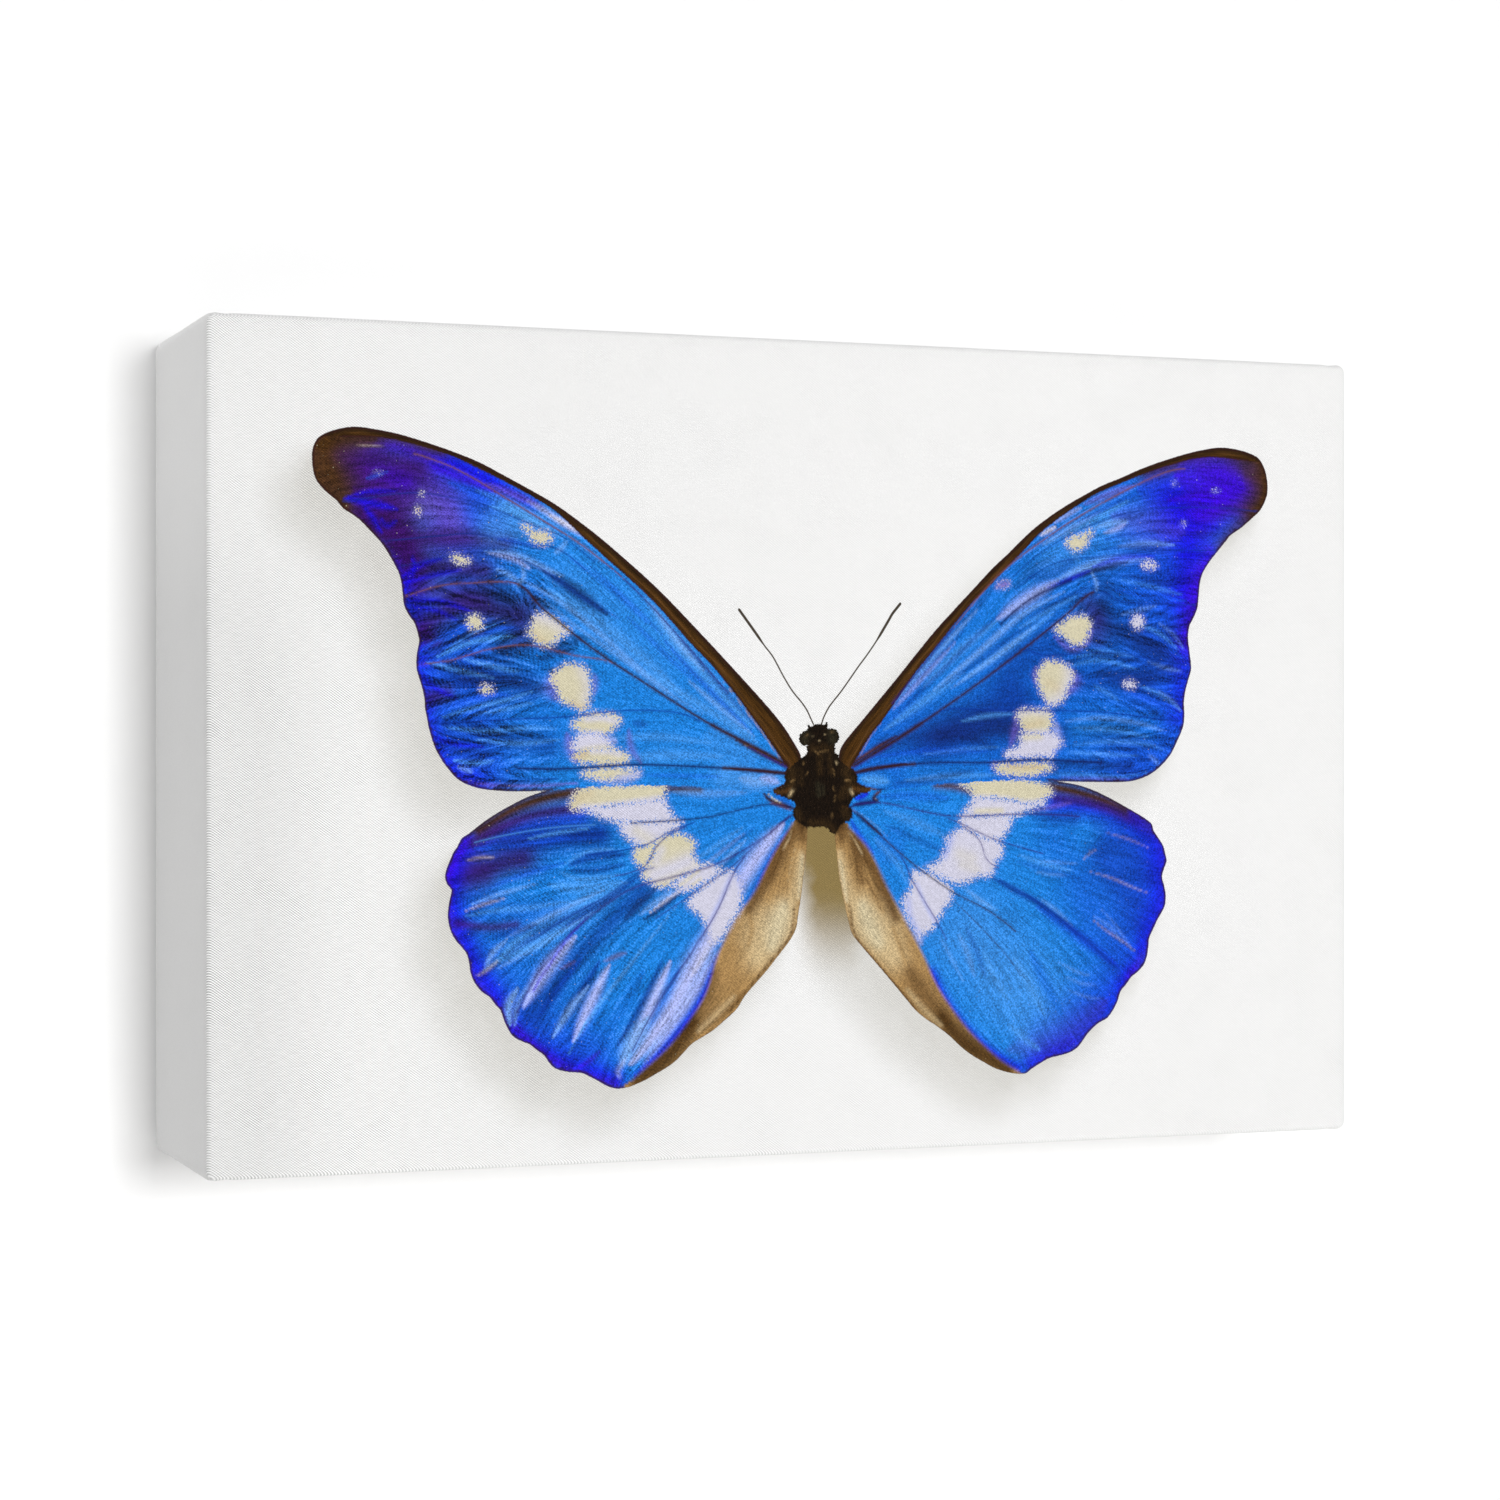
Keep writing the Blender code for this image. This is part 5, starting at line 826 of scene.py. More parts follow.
# Spacing of the places that carry ink: over the body, over the wings, and on the bare ground
FINEST, FINE, COARSE = 0.34, 0.48, 2.6
ROW_GAP = 0.2
WINGS_WIDE, WINGS_LOW, WINGS_HIGH = 98, -64, 61
BODY_MIDDLE, BODY_REACH = np.array((2.0, -5.5)), np.array((15.0, 11.5))


def thinned(places, keep_from, distance):
    """Leaves out the places that crowd a set of lines."""
    grid = {}
    for x, z in keep_from:
        grid.setdefault((int(x // distance), int(z // distance)), []).append((x, z))
    kept = []
    for x, z in places:
        i, j = int(x // distance), int(z // distance)
        near = (point for a in (-1, 0, 1) for b in (-1, 0, 1) for point in grid.get((i + a, j + b), ()))
        if all((x - px) ** 2 + (z - pz) ** 2 > distance ** 2 for px, pz in near):
            kept.append((x, z))
    return np.array(kept)


def lattice(spacing, half_x, half_z):
    """A triangular grid of places over the face."""
    rows = []
    for number, z in enumerate(np.arange(-half_z + spacing / 2, half_z - spacing / 3, spacing * 0.866)):
        start = -half_x + spacing * (0.5 if number % 2 else 0.9)
        x = np.arange(start, half_x - spacing / 3, spacing)
        rows.append(np.column_stack([x, np.full(len(x), z)]))
    return np.vstack(rows)


def beside(line, offset):
    """A line moved sideways."""
    run = np.gradient(line, axis=0)
    run /= np.maximum(np.hypot(run[:, 0], run[:, 1]), 1e-9)[:, None]
    return line + offset * np.column_stack([-run[:, 1], run[:, 0]])


def share_of(line, first, last):
    return line[int(first * (len(line) - 1)):int(last * (len(line) - 1)) + 1]


outlines = {wing: closed_line(points) for wing, points in OUTLINE.items()}
vein_lines = {wing: [smooth_line(points, 0.5) for points in lines] for wing, lines in VEINS.items()}


def picture_edge(places):
    """How far inside the whole butterfly's outline each place is."""
    return np.max([inside_by(places, outline) for outline in outlines.values()], axis=0)


def side_stations(half):
    """Stations along one side of the picture, close together near its corners for the folds."""
    ends = np.arange(0, FOLD_REACH + 0.01, 0.9)
    inner_half = half - FOLD_REACH
    middle = np.linspace(-inner_half, inner_half, int(inner_half * 2 / 3.2))[1:-1]
    return np.concatenate([-half + ends, middle, (half - ends)[::-1]])


def ring(inset, corner_steps=4):
    """A closed loop round the picture, at an inset from its outer faces, always with as many points."""
    radius = max(CORNER_RADIUS - inset, 0.25)
    flat_x, flat_z = HALF_X - inset - radius, HALF_Z - inset - radius
    unit_x = side_stations(HALF_X - CORNER_RADIUS) / (HALF_X - CORNER_RADIUS)
    unit_z = side_stations(HALF_Z - CORNER_RADIUS) / (HALF_Z - CORNER_RADIUS)
    parts = []
    for turn, (units, flat, away) in enumerate((
            (unit_x, flat_x, -flat_z), (unit_z, flat_z, flat_x),
            (unit_x[::-1], flat_x, flat_z), (unit_z[::-1], flat_z, -flat_x))):
        run, level = units * flat, np.full(len(units), away + math.copysign(radius, away))
        parts.append(np.column_stack([level, run] if turn % 2 else [run, level]))
        centre = ((flat_x, -flat_z), (flat_x, flat_z), (-flat_x, flat_z), (-flat_x, -flat_z))[turn]
        angles = np.radians(-90 + 90 * turn + np.linspace(0, 90, corner_steps + 2)[1:-1])
        parts.append(centre + radius * np.column_stack([np.cos(angles), np.sin(angles)]))
    return np.vstack(parts)


def wobble(x, y, z):
    """The small unevenness of hand-stretched cloth."""
    slow = 0.5 * np.sin(x / 9.1 + z / 7.3 + 1.1)
    return slow + 0.3 * np.sin(x / 4.7 - y / 5.9) + 0.2 * np.sin(z / 3.7 + y / 4.3 + 2.0)


def soft_step(value, low, high):
    t = np.clip((value - low) / (high - low), 0, 1)
    return t * t * (3 - 2 * t)


def folded(loop, y):
    """Adds what tucked corners do to the cloth: a second layer on the top and the bottom."""
    x, z = loop[:, 0].copy(), loop[:, 1].copy()
    depth = (y - FACE_Y) / (BACK_Y - FACE_Y)
    from_corner = HALF_X - np.abs(x)
    fold = FOLD_WIDTH + FOLD_LEAN * depth
    on_edge = soft_step(np.abs(z), HALF_Z - 0.6, HALF_Z - 0.2)
    tuck = soft_step(from_corner, fold + 0.7, fold - 0.1)
    lift = SECOND_LAYER * on_edge * tuck * soft_step(depth, 0.0, 0.12)
    hollow = 0.16 * on_edge * soft_step(np.abs(from_corner - fold - 1.2), 1.6, 0.0)
    swell = 0.10 * wobble(x, y, z) * soft_step(depth, 0.0, 0.08) * soft_step(depth, 1.0, 0.92)
    across = np.abs(np.abs(x) - HALF_X) < 0.6
    z += np.sign(z) * (lift - hollow + swell * on_edge)
    x += np.sign(x) * np.where(across, np.minimum(swell, 0.06), 0)
    return x, z


def flap_lift(x, z):
    """How far the folded-in edge stands up at the back: doubled at the corners' mitres."""
    from_x, from_z = HALF_X - np.abs(x), HALF_Z - np.abs(z)
    doubled = soft_step(from_x - from_z, -0.5, 0.3) * soft_step(from_x, 23.5, 21.5)
    layer = SECOND_LAYER * doubled * soft_step(from_z, 0.8, 2.4)
    return layer + 0.06 * wobble(x, 3.0, z) * soft_step(from_z, 0.5, 3.0)


class Sheet:
    """Points and faces of the cloth while it is being laid out."""

    def __init__(self):
        self.points, self.faces, self.raw = [], [], []

    def add_ring(self, x, y, z):
        first = len(self.points)
        self.points += np.column_stack([x, np.broadcast_to(y, x.shape), z]).tolist()
        return list(range(first, first + len(x)))

    def join(self, one, other, raw):
        for a, b, c, d in zip(one, other, other[1:] + other[:1], one[1:] + one[:1]):
            self.faces.append((a, b, c, d))
            self.raw.append(raw)


sheet = Sheet()
edge_angles = np.radians(np.linspace(0, 90, 5))
face_ring = ring(EDGE_RADIUS)
previous = front_rim = sheet.add_ring(face_ring[:, 0], FACE_Y, face_ring[:, 1])
rounding = [(EDGE_RADIUS * (1 - math.sin(a)), EDGE_RADIUS * (1 - math.cos(a))) for a in edge_angles]
outer = [(inset, FACE_Y + deep) for inset, deep in rounding[1:]]
outer += [(0.0, y) for y in np.linspace(FACE_Y + EDGE_RADIUS, BACK_Y - EDGE_RADIUS, 26)[1:]]
outer += [(inset, BACK_Y - deep) for inset, deep in rounding[-2::-1]]
for inset, y in outer:
    loop = ring(inset)
    x, z = folded(loop, y)
    current = sheet.add_ring(x, y, z)
    sheet.join(previous, current, False)
    previous = current
cut_edge = np.random.default_rng(5).normal(0, 1, len(face_ring))
cut_edge = np.convolve(np.concatenate([cut_edge[-3:], cut_edge, cut_edge[:3]]), np.ones(7) / 7, "valid")


def flap_ring(inset):
    """A ring on the folded-in flap, whose last one follows the scissors' uneven cut."""
    return ring(inset) * (1 + 0.006 * cut_edge[:, None] * (inset == FLAP))


for inset in (*np.linspace(EDGE_RADIUS + 0.7, 6, 5), *np.linspace(7.5, FLAP, 8)):
    loop = flap_ring(inset)
    current = sheet.add_ring(loop[:, 0], BACK_Y + flap_lift(loop[:, 0], loop[:, 1]), loop[:, 1])
    sheet.join(previous, current, False)
    previous = current
inner_back, inner_front = BACK_Y - CLOTH, FACE_Y + CLOTH
INNER_BEND = 0.6
inner = [(inset, inner_back) for inset in (FLAP, 10.0, CLOTH + INNER_BEND)]
inner += [(CLOTH, y) for y in np.linspace(inner_back - INNER_BEND, inner_front + INNER_BEND, 6)]
inner += [(CLOTH + INNER_BEND, inner_front)]
for inset, y in inner:
    loop = flap_ring(inset)
    current = sheet.add_ring(loop[:, 0], y, loop[:, 1])
    sheet.join(previous, current, True)
    previous = current
back_rim = previous


def fill(rim, y, inner_places, raw):
    """Closes a ring with a flat panel, divided at the places given."""
    border = np.array([(sheet.points[i][0], sheet.points[i][2]) for i in rim])
    edges = [(i, (i + 1) % len(border)) for i in range(len(border))]
    flat = [Vector(place) for place in np.vstack([border, inner_places]).tolist()]
    made, _, faces, came_from, _, _ = delaunay_2d_cdt(flat, edges, [], 1, 1e-5)
    index = []
    for number, place in enumerate(made):
        owner = [i for i in came_from[number] if i < len(border)]
        if owner:
            index.append(rim[owner[0]])
        else:
            index.append(len(sheet.points))
            sheet.points.append((place.x, y, place.y))
    for face in faces:
        corners = [index[i] for i in face]
        sheet.faces.append(tuple(reversed(corners)) if raw else tuple(corners))
        sheet.raw.append(raw)


rows = []
for wing, looks in VEIN_INK.items():
    for number, _, _, _, first, last in looks:
        line = share_of(vein_lines[wing][number], max(first, 0.03), min(last, 0.985))
        rows += [line, beside(line, ROW_GAP), beside(line, -ROW_GAP)]
for outline in outlines.values():
    rows += [outline, beside(outline, ROW_GAP), beside(outline, -ROW_GAP)]
feelers = [smooth_line(points, 0.35) for points in FEELERS]
for feeler in feelers:
    rows += [beside(feeler, offset) for offset in (0, 0.22, -0.22, 0.55, -0.55)]
row_places = np.vstack(rows)
fine = lattice(FINE, HALF_X - EDGE_RADIUS, HALF_Z - EDGE_RADIUS)
fine = fine[(np.abs(fine[:, 0]) < WINGS_WIDE) & (fine[:, 1] > WINGS_LOW) & (fine[:, 1] < WINGS_HIGH)]
fine = fine[np.any(np.abs(fine - BODY_MIDDLE) > BODY_REACH, axis=1)]
fine = np.vstack([fine, lattice(FINEST, *BODY_REACH) + BODY_MIDDLE])
body_lines = [closed_line(points, 0.3) for points in BODY_OUTLINES]
body_reach = np.max([inside_by(fine, line) for line in body_lines], axis=0)
fine = fine[(picture_edge(fine) > -0.5) | (body_reach > -1.0)]
fine = thinned(fine, row_places, ROW_GAP)
coarse = lattice(COARSE, HALF_X - EDGE_RADIUS, HALF_Z - EDGE_RADIUS)
coarse = coarse[picture_edge(coarse) < -1.2]
coarse = thinned(coarse, row_places, 1.0)
fill(front_rim, FACE_Y, np.vstack([fine, coarse, row_places]), False)
fill(back_rim, inner_front, lattice(9.0, HALF_X - 3, HALF_Z - 3), True)

shape = np.array(sheet.points)
places = shape[:, [0, 2]]
on_face = np.abs(shape[:, 1] - FACE_Y) < 0.02
places[~on_face] = (0, 500)


# Printed canvas: the inks
# Each place on the face is given the ink that lies there, and how far it is inside the
# butterfly's outline, its pale patches and its body, so that the print's edges stay crisp.

LIGHT_ON_FACE = 1.16
inks = {name: np.array(seen_colour(*tone)) / LIGHT_ON_FACE for name, tone in INKS.items()}
FAR_OUT = -9.0
WING_ROOT = (1.0, -6.0)
MARGIN_VEIN = 8
OUTER_PART = {"fore": (42, 64), "hind": (30, 56)}
count = len(places)
ink = np.tile(inks["azure"], (count, 1))
pale_ink = np.tile(inks["snow"], (count, 1))
pale_edge, body_edge, feeler_edge = (np.full(count, FAR_OUT) for _ in range(3))
vein_ink = np.tile(np.append(inks["bark"], 0.0), (count, 1))
flow, cell, shade = (np.zeros((count, 3)) for _ in range(3))
front = np.full((count, 3), FAR_OUT)
wing_depth = {wing: np.full(count, -60.0) for wing in outlines}
printed = np.flatnonzero(on_face & (np.abs(places[:, 0]) < 99) & (np.abs(places[:, 1]) < 65))
for wing, outline in outlines.items():
    wing_depth[wing][printed] = inside_by(places[printed], outline)
wing_edge = np.max(list(wing_depth.values()), axis=0)

for side in ("left", "right"):
    fore_depth, hind_depth = wing_depth[side + " fore"], wing_depth[side + " hind"]
    own_half = (places[:, 0] < 1.0) if side == "left" else (places[:, 0] >= 1.0)
    on_fore = own_half & ((fore_depth > 0) | (fore_depth > hind_depth))
    for wing, mine in ((side + " fore", on_fore), (side + " hind", own_half & ~on_fore)):
        chosen = np.flatnonzero(mine & (np.maximum(fore_depth, hind_depth) > -3))
        here = places[chosen]
        paint = np.tile(inks[WING_FILL[wing]], (len(chosen), 1))
        measured = [along_line(here, line) for line in vein_lines[wing]]
        turn = 1 if side == "left" else -1
        signed = [gap * way * turn for gap, way, _ in measured]
        fan = np.zeros(len(chosen))
        for number, (ahead, behind) in enumerate(zip(signed, signed[1:])):
            between = (ahead >= 0) & (behind < 0)
            fan[between] = number + ahead[between] / (ahead[between] - behind[between])
        beyond_last = signed[-1] >= 0
        fan[beyond_last] = len(signed) - 1 + signed[-1][beyond_last] * 0.12
        reach = np.hypot(*(here - WING_ROOT).T)
        outer_part = soft_step(reach, *OUTER_PART[wing.split()[1]])
        outer_part *= 0.4 if wing == "right hind" else 1
        flow[chosen] = np.column_stack([fan, reach, outer_part])
        barbed = soft_step(fan, 3.4, 5.2) if "fore" in wing else soft_step(fan, 2.0, 5.0) * 0.3
        shade[chosen, 2] = outer_part * barbed * (1 if wing == "left fore" else 0.6)
        cell[chosen, 0] = np.min([gap for gap, _, _ in measured], axis=0)
        for colour, strength, width, points in TONES[wing]:
            brushed(paint, here, inks[colour], strength, width, points)
        for colour, strength, width, points in FOLDS[wing]:
            brushed(paint, here, inks[colour], strength, width, points, taper=0.1)
        lines = np.tile(np.append(inks["bark"], 0.0), (len(chosen), 1))
        for number, colour, strength, width, first, last in VEIN_INK[wing]:
            gap, _, _ = along_line(here, share_of(vein_lines[wing][number], first, last))
            weight = strength * np.exp(-(gap / (width * 0.6)) ** 2)
            stronger = weight > lines[:, 3]
            lines[stronger, :3] = inks[colour]
            lines[stronger, 3] = weight[stronger]
        if "fore" in wing:
            gap, way, _ = along_line(here, smooth_line(COSTA_INNER[wing]))
            front[chosen, 0] = gap * way * -turn
        else:
            gap, way, _ = along_line(here, smooth_line(VEINS[wing][MARGIN_VEIN]))
            margin = np.tile(inks["tan"], (len(chosen), 1))
            for colour, strength, width, points in MARGIN_TONES[wing]:
                brushed(margin, here, inks[colour], strength, width, points, taper=0.6)
            weight = soft_step(gap * way * turn, -0.35, 0.55)
            paint += (margin - paint) * weight[:, None]
            cell[chosen, 1] = weight
        edge = np.full(len(chosen), FAR_OUT)
        patch_ink = np.tile(inks["snow"], (len(chosen), 1))
        for colour, solid, points in PATCHES[wing]:
            outline = closed_line(points, 0.5)
            near = np.all((here > outline.min(axis=0) - 3) & (here < outline.max(axis=0) + 3), axis=1)
            depth = inside_by(here[near], outline) - (1 - solid) * 1.2
            weight = soft_step(depth, -1.0, 0.4)
            patch_ink[near] += (inks[colour] - patch_ink[near]) * weight[:, None]
            edge[near] = np.maximum(edge[near], depth)
        for colour, strength, width, points in PATCH_TONES[wing]:
            brushed(patch_ink, here, inks[colour], strength, width, points)
        ink[chosen], pale_ink[chosen], pale_edge[chosen], vein_ink[chosen] = paint, patch_ink, edge, lines

body_edge[printed] = np.max([inside_by(places[printed], line) for line in body_lines], axis=0)
bodily = np.flatnonzero(body_edge > -0.35)
body_ink = np.tile(inks["soot"], (len(bodily), 1))
for colour, strength, width, points in BODY_TONES:
    brushed(body_ink, places[bodily], inks[colour], strength, width, points)
ink[bodily] = body_ink
for feeler in feelers:
    gap, _, along = along_line(places[printed], feeler)
    club = soft_step(along, FEELER_TIP_SHARE - 0.08, FEELER_TIP_SHARE)
    half = FEELER_HALF_WIDTH + (FEELER_TIP_HALF_WIDTH - FEELER_HALF_WIDTH) * club
    feeler_edge[printed] = np.maximum(feeler_edge[printed], half - gap)
cell[:, 2] = feeler_edge

# The specimen's own soft shadow is in the print, down and to the left of it
SHADOW_SHIFTS = ((-6.0, -7.0, 7.0, 0.34), (-3.0, -3.6, 3.4, 0.42))
bare = np.flatnonzero(on_face & (wing_edge < 1))
coarse_outlines = [np.reshape((*points, *points[:2]), (-1, 2)) for points in OUTLINE.values()]
for shift_x, shift_z, blur, depth in SHADOW_SHIFTS:
    moved = places[bare] - (shift_x, shift_z)
    cast = np.max([inside_by(moved, outline) for outline in coarse_outlines], axis=0)
    shade[bare, 0] = np.maximum(shade[bare, 0], depth * soft_step(cast, -blur * 0.8, blur * 0.6))

# Under the body and between the hindwings the ground is brownish, softer lower down
across, height = places.T
softness = 3.6 + np.maximum(-20 - height, 0) * 0.22
shade[:, 1] = soft_step((across + 5.0) / softness, 0, 1) * soft_step(-across, -11, -7)
shade[:, 1] *= soft_step(height, -45, -27) * (height < -6) * on_face

cloth = bpy.data.meshes.new("printed_canvas_cloth")
world = shape * MM
world[:, 0] += MIDDLE.x
world[:, 2] += MIDDLE.z
cloth.from_pydata(world.tolist(), [], sheet.faces)
solid_ink = np.ones(count)
for name, kind, values in (
        ("ink", "FLOAT_COLOR", np.column_stack([ink, solid_ink])),
        ("pale_ink", "FLOAT_COLOR", np.column_stack([pale_ink, solid_ink])),
        ("vein_ink", "FLOAT_COLOR", vein_ink),
        ("edges", "FLOAT_VECTOR", np.column_stack([wing_edge, pale_edge, body_edge])),
        ("flow", "FLOAT_VECTOR", flow),
        ("cell", "FLOAT_VECTOR", cell),
        ("front", "FLOAT_VECTOR", front),
        ("shade", "FLOAT_VECTOR", shade)):
    layer = cloth.attributes.new(name, kind, "POINT")
    field = "color" if kind == "FLOAT_COLOR" else "vector"
    layer.data.foreach_set(field, values.astype(np.float32).ravel())
canvas = bpy.data.objects.new("canvas", cloth)
SCENE.objects.link(canvas)


WARP_PITCH, WEFT_PITCH = 0.62, 0.455


def woven(finish, spot):
    """Over and under of fine plain weave, as a height from 0 to 1."""
    x, y, z = finish.split(spot)
    drift = finish.noise(spot, 0.12, 2.0)
    run, warp_turn, weft_turn = finish.plus(x, y), 2 * math.pi / WARP_PITCH, 2 * math.pi / WEFT_PITCH
    warp = finish.sum("SINE", finish.line(run, warp_turn, finish.times(drift, 5.0)))
    weft = finish.sum("SINE", finish.line(z, weft_turn, finish.times(drift, 3.0)))
    cross = finish.sum("SINE", finish.line(run, warp_turn, finish.times(z, weft_turn)))
    plain = finish.times(finish.times(warp, weft), 0.5)
    mixed = finish.line(cross, 0.75, plain)
    slub = finish.noise(finish.scaled(spot, (0.5, 0.5, 3.0)), 1.0, 3.0, 0.6)
    uneven = finish.line(slub, 0.6, -0.3)
    return finish.line(finish.plus(mixed, uneven), 0.5, 0.5)


def print_finish():
    """Coated canvas with the butterfly in matt ink."""
    coat = Finish("printed_coated_canvas", 0.75, 0.06)
    spot = coat.place()
    weave = woven(coat, spot)

    def layer(name):
        return coat.step("ShaderNodeAttribute", {}, attribute_name=name).outputs

    def scaled_ink(value, by):
        return coat.step("ShaderNodeVectorMath", {0: value, "Scale": by}, operation="SCALE").outputs[0]

    def seen(*tone):
        return tuple(part / LIGHT_ON_FACE for part in seen_colour(*tone))

    def swing(vector, scale, detail, roughness, spread):
        """Noise that runs from -1 to 1."""
        waves = coat.noise(vector, scale, detail, roughness)
        return coat.rise(waves, 0.5 - spread, 0.5 + spread, -1.0, 1.0)

    wing_in, pale_in, body_in = coat.split(layer("edges")["Vector"])
    from_vein, margin, feeler_in = coat.split(layer("cell")["Vector"])
    cast, under_body, barbed = coat.split(layer("shade")["Vector"])
    front_in = coat.split(layer("front")["Vector"])[0]
    flows = layer("flow")["Vector"]
    fan, reach, outer = coat.split(flows)
    ink_colour, pale_colour, vein = layer("ink")["Color"], layer("pale_ink")["Color"], layer("vein_ink")

    # Wing scales: long streaks that fan out with the veins, barbs that leave each vein, fine ribs
    # and single scales
    streaks = swing(coat.scaled(flows, (8.0, 0.09, 0.0)), 1.0, 4.0, 0.6, 0.14)
    thin_flows = coat.shifted(coat.scaled(flows, (30.0, 0.2, 0.0)), (7.0, 3.0, 5.0))
    hairlines = swing(thin_flows, 1.0, 2.0, 0.5, 0.2)
    half_cell = coat.sum("FLOOR", coat.times(fan, 2.0))
    slant = coat.line(from_vein, coat.line(from_vein, 0.35, 1.2), reach)
    barb_line = coat.joined(coat.times(slant, 0.42), coat.times(half_cell, 7.3), coat.times(from_vein, 0.12))
    barbs = swing(barb_line, 1.0, 3.0, 0.6, 0.14)
    crossing = coat.line(from_vein, 0.5, reach)
    ribs = coat.sum("SINE", coat.line(crossing, 8.6, coat.times(streaks, 1.2)))
    rib_zone = coat.rise(coat.noise(spot, 0.09, 2.0), 0.40, 0.60)
    fine_grain = swing(spot, 3.4, 2.0, 0.7, 0.2)
    tone = coat.times(streaks, coat.line(outer, 0.13, 0.09))
    tone = coat.line(hairlines, 0.08, tone)
    tone = coat.line(fine_grain, 0.32, tone)
    tone = coat.line(coat.times(coat.sum("SUBTRACT", barbs, 0.35), barbed), 0.38, tone)
    tone = coat.line(coat.times(ribs, rib_zone),
                    coat.line(outer, 0.07, 0.05), tone)
    tone = coat.times(tone, coat.line(margin, -0.25, 1.0))
    lit = scaled_ink(ink_colour, coat.sum("MAXIMUM", coat.line(tone, 1.15, 0.97), 0.12))
    green = coat.step("ShaderNodeSeparateColor", {0: ink_colour}).outputs[1]
    gloss = coat.times(coat.rise(tone, 0.14, 0.75, 0.0, 0.42), coat.rise(green, 0.03, 0.16))
    gloss = coat.times(gloss, coat.sum("SUBTRACT", 1.0, margin))
    lit = coat.blend(gloss, lit, tuple(inks["ice"]))
    specks = coat.rise(coat.noise(coat.shifted(spot, (31.0, 0.0, 12.0)), 2.1, 1.0), 0.745, 0.77, 0.0, 0.5)
    lit = coat.blend(coat.times(specks, outer), lit, tuple(inks["cream"]))

    # Pale patches end in single scales
    ragged = coat.line(swing(spot, 3.2, 3.0, 0.65, 0.25), 1.2, pale_in)
    halo = coat.rise(coat.line(fine_grain, 0.4, pale_in), -1.4, 0.4, 0.0, 0.36)
    lit = coat.blend(halo, lit, coat.blend(0.5, tuple(inks["lavender"]), tuple(inks["dusk"])))
    pale = scaled_ink(pale_colour, coat.line(fine_grain, 0.12, 0.98))
    lit = coat.blend(coat.rise(ragged, -0.2, 0.22, 0.0, 0.97), lit, pale)

    # The brown front edge, the veins, and a thin dark fringe round every blue wing
    front_streak = coat.times(coat.rise(front_in, 0.5, 0.95), coat.rise(front_in, 1.35, 0.95))
    front_ink = coat.blend(coat.rise(front_in, 0.1, 0.5), tuple(inks["bark"]), tuple(inks["brown"]))
    front_ink = coat.blend(coat.times(front_streak, 0.8), front_ink, tuple(inks["umber"]))
    front_ink = coat.blend(coat.rise(wing_in, 1.5, 0.4, 0.0, 0.9), front_ink, seen(42, 27, 10))
    fibres = coat.joined(coat.times(front_in, 2.6), coat.times(reach, 0.16))
    fibre = coat.rise(coat.noise(fibres, 1.0, 3.0, 0.6), 0.3, 0.7, 0.6, 1.5)
    front_ink = scaled_ink(front_ink, coat.line(fine_grain, 0.1, fibre))
    lit = coat.blend(coat.rise(coat.line(fine_grain, 0.12, front_in), -0.12, 0.14), lit, front_ink)
    lit = coat.blend(vein["Alpha"], lit, vein["Color"])
    rough_edge = coat.line(coat.sum("SUBTRACT", coat.noise(spot, 1.2, 2.0), 0.5), 0.6, wing_in)
    rough_edge = coat.line(margin, 0.4, rough_edge)
    lit = coat.blend(coat.rise(rough_edge, 0.65, 0.15, 0.0, 0.8), lit, tuple(inks["bark"]))

    # White ground with the specimen's own shadow. The ground is greyer towards the left, most at the left
    # edge lower down
    across, outward, up = coat.split(spot)
    greyer = coat.times(coat.rise(across, -118.0, -84.0, 1.0, 0.0), coat.rise(up, -60.0, -10.0, 1.0, 0.15))
    greyer = coat.plus(greyer, coat.rise(across, -120.0, 60.0, 0.35, 0.0))
    ground = coat.blend(greyer, seen(245, 245, 245), seen(229, 229, 229))
    ground = coat.blend(cast, ground, seen(172, 168, 154))
    ground = coat.blend(under_body, ground, seen(142, 122, 76))
    cover = coat.rise(coat.line(fine_grain, 0.03, wing_in), -0.08, 0.08)
    face = coat.blend(cover, ground, lit)

    # Thorax and head: short dark hair with tan and black patches; the feelers are bare
    hair = coat.noise(coat.scaled(spot, (3.0, 1.0, 1.1)), 1.0, 4.0, 0.7)
    body = scaled_ink(ink_colour, coat.rise(hair, 0.3, 0.7, 0.35, 1.65))
    hairy_edge = coat.line(swing(spot, 3.2, 3.0, 0.8, 0.25), 0.2, body_in)
    face = coat.blend(coat.rise(hairy_edge, -0.06, 0.08), face, body)
    face = coat.blend(coat.rise(feeler_in, -0.07, 0.07), face, seen(70, 62, 52))

    # Painted shade and highlight of the weave's threads, multiplied into the face's colour: they show most
    # where the light rakes it, towards the left and lower down, and less on the sides; the bump gives the
    # real relief
    raking = coat.times(coat.rise(up, -62.0, -8.0, 1.0, 0.0), coat.rise(across, -60.0, 90.0, 0.16, 0.01))
    depth = coat.plus(coat.rise(across, -108.0, -38.0, 0.32, 0.05), raking)
    depth = coat.times(depth, coat.rise(outward, -51.7, -50.0, 1.0, 0.2))
    thread_shade = coat.line(coat.sum("SUBTRACT", weave, 0.5), coat.times(depth, 2.0), 0.99)
    coat.colour(scaled_ink(face, thread_shade))
    coat.relief(weave, 0.00005, 0.9)
    return coat.material


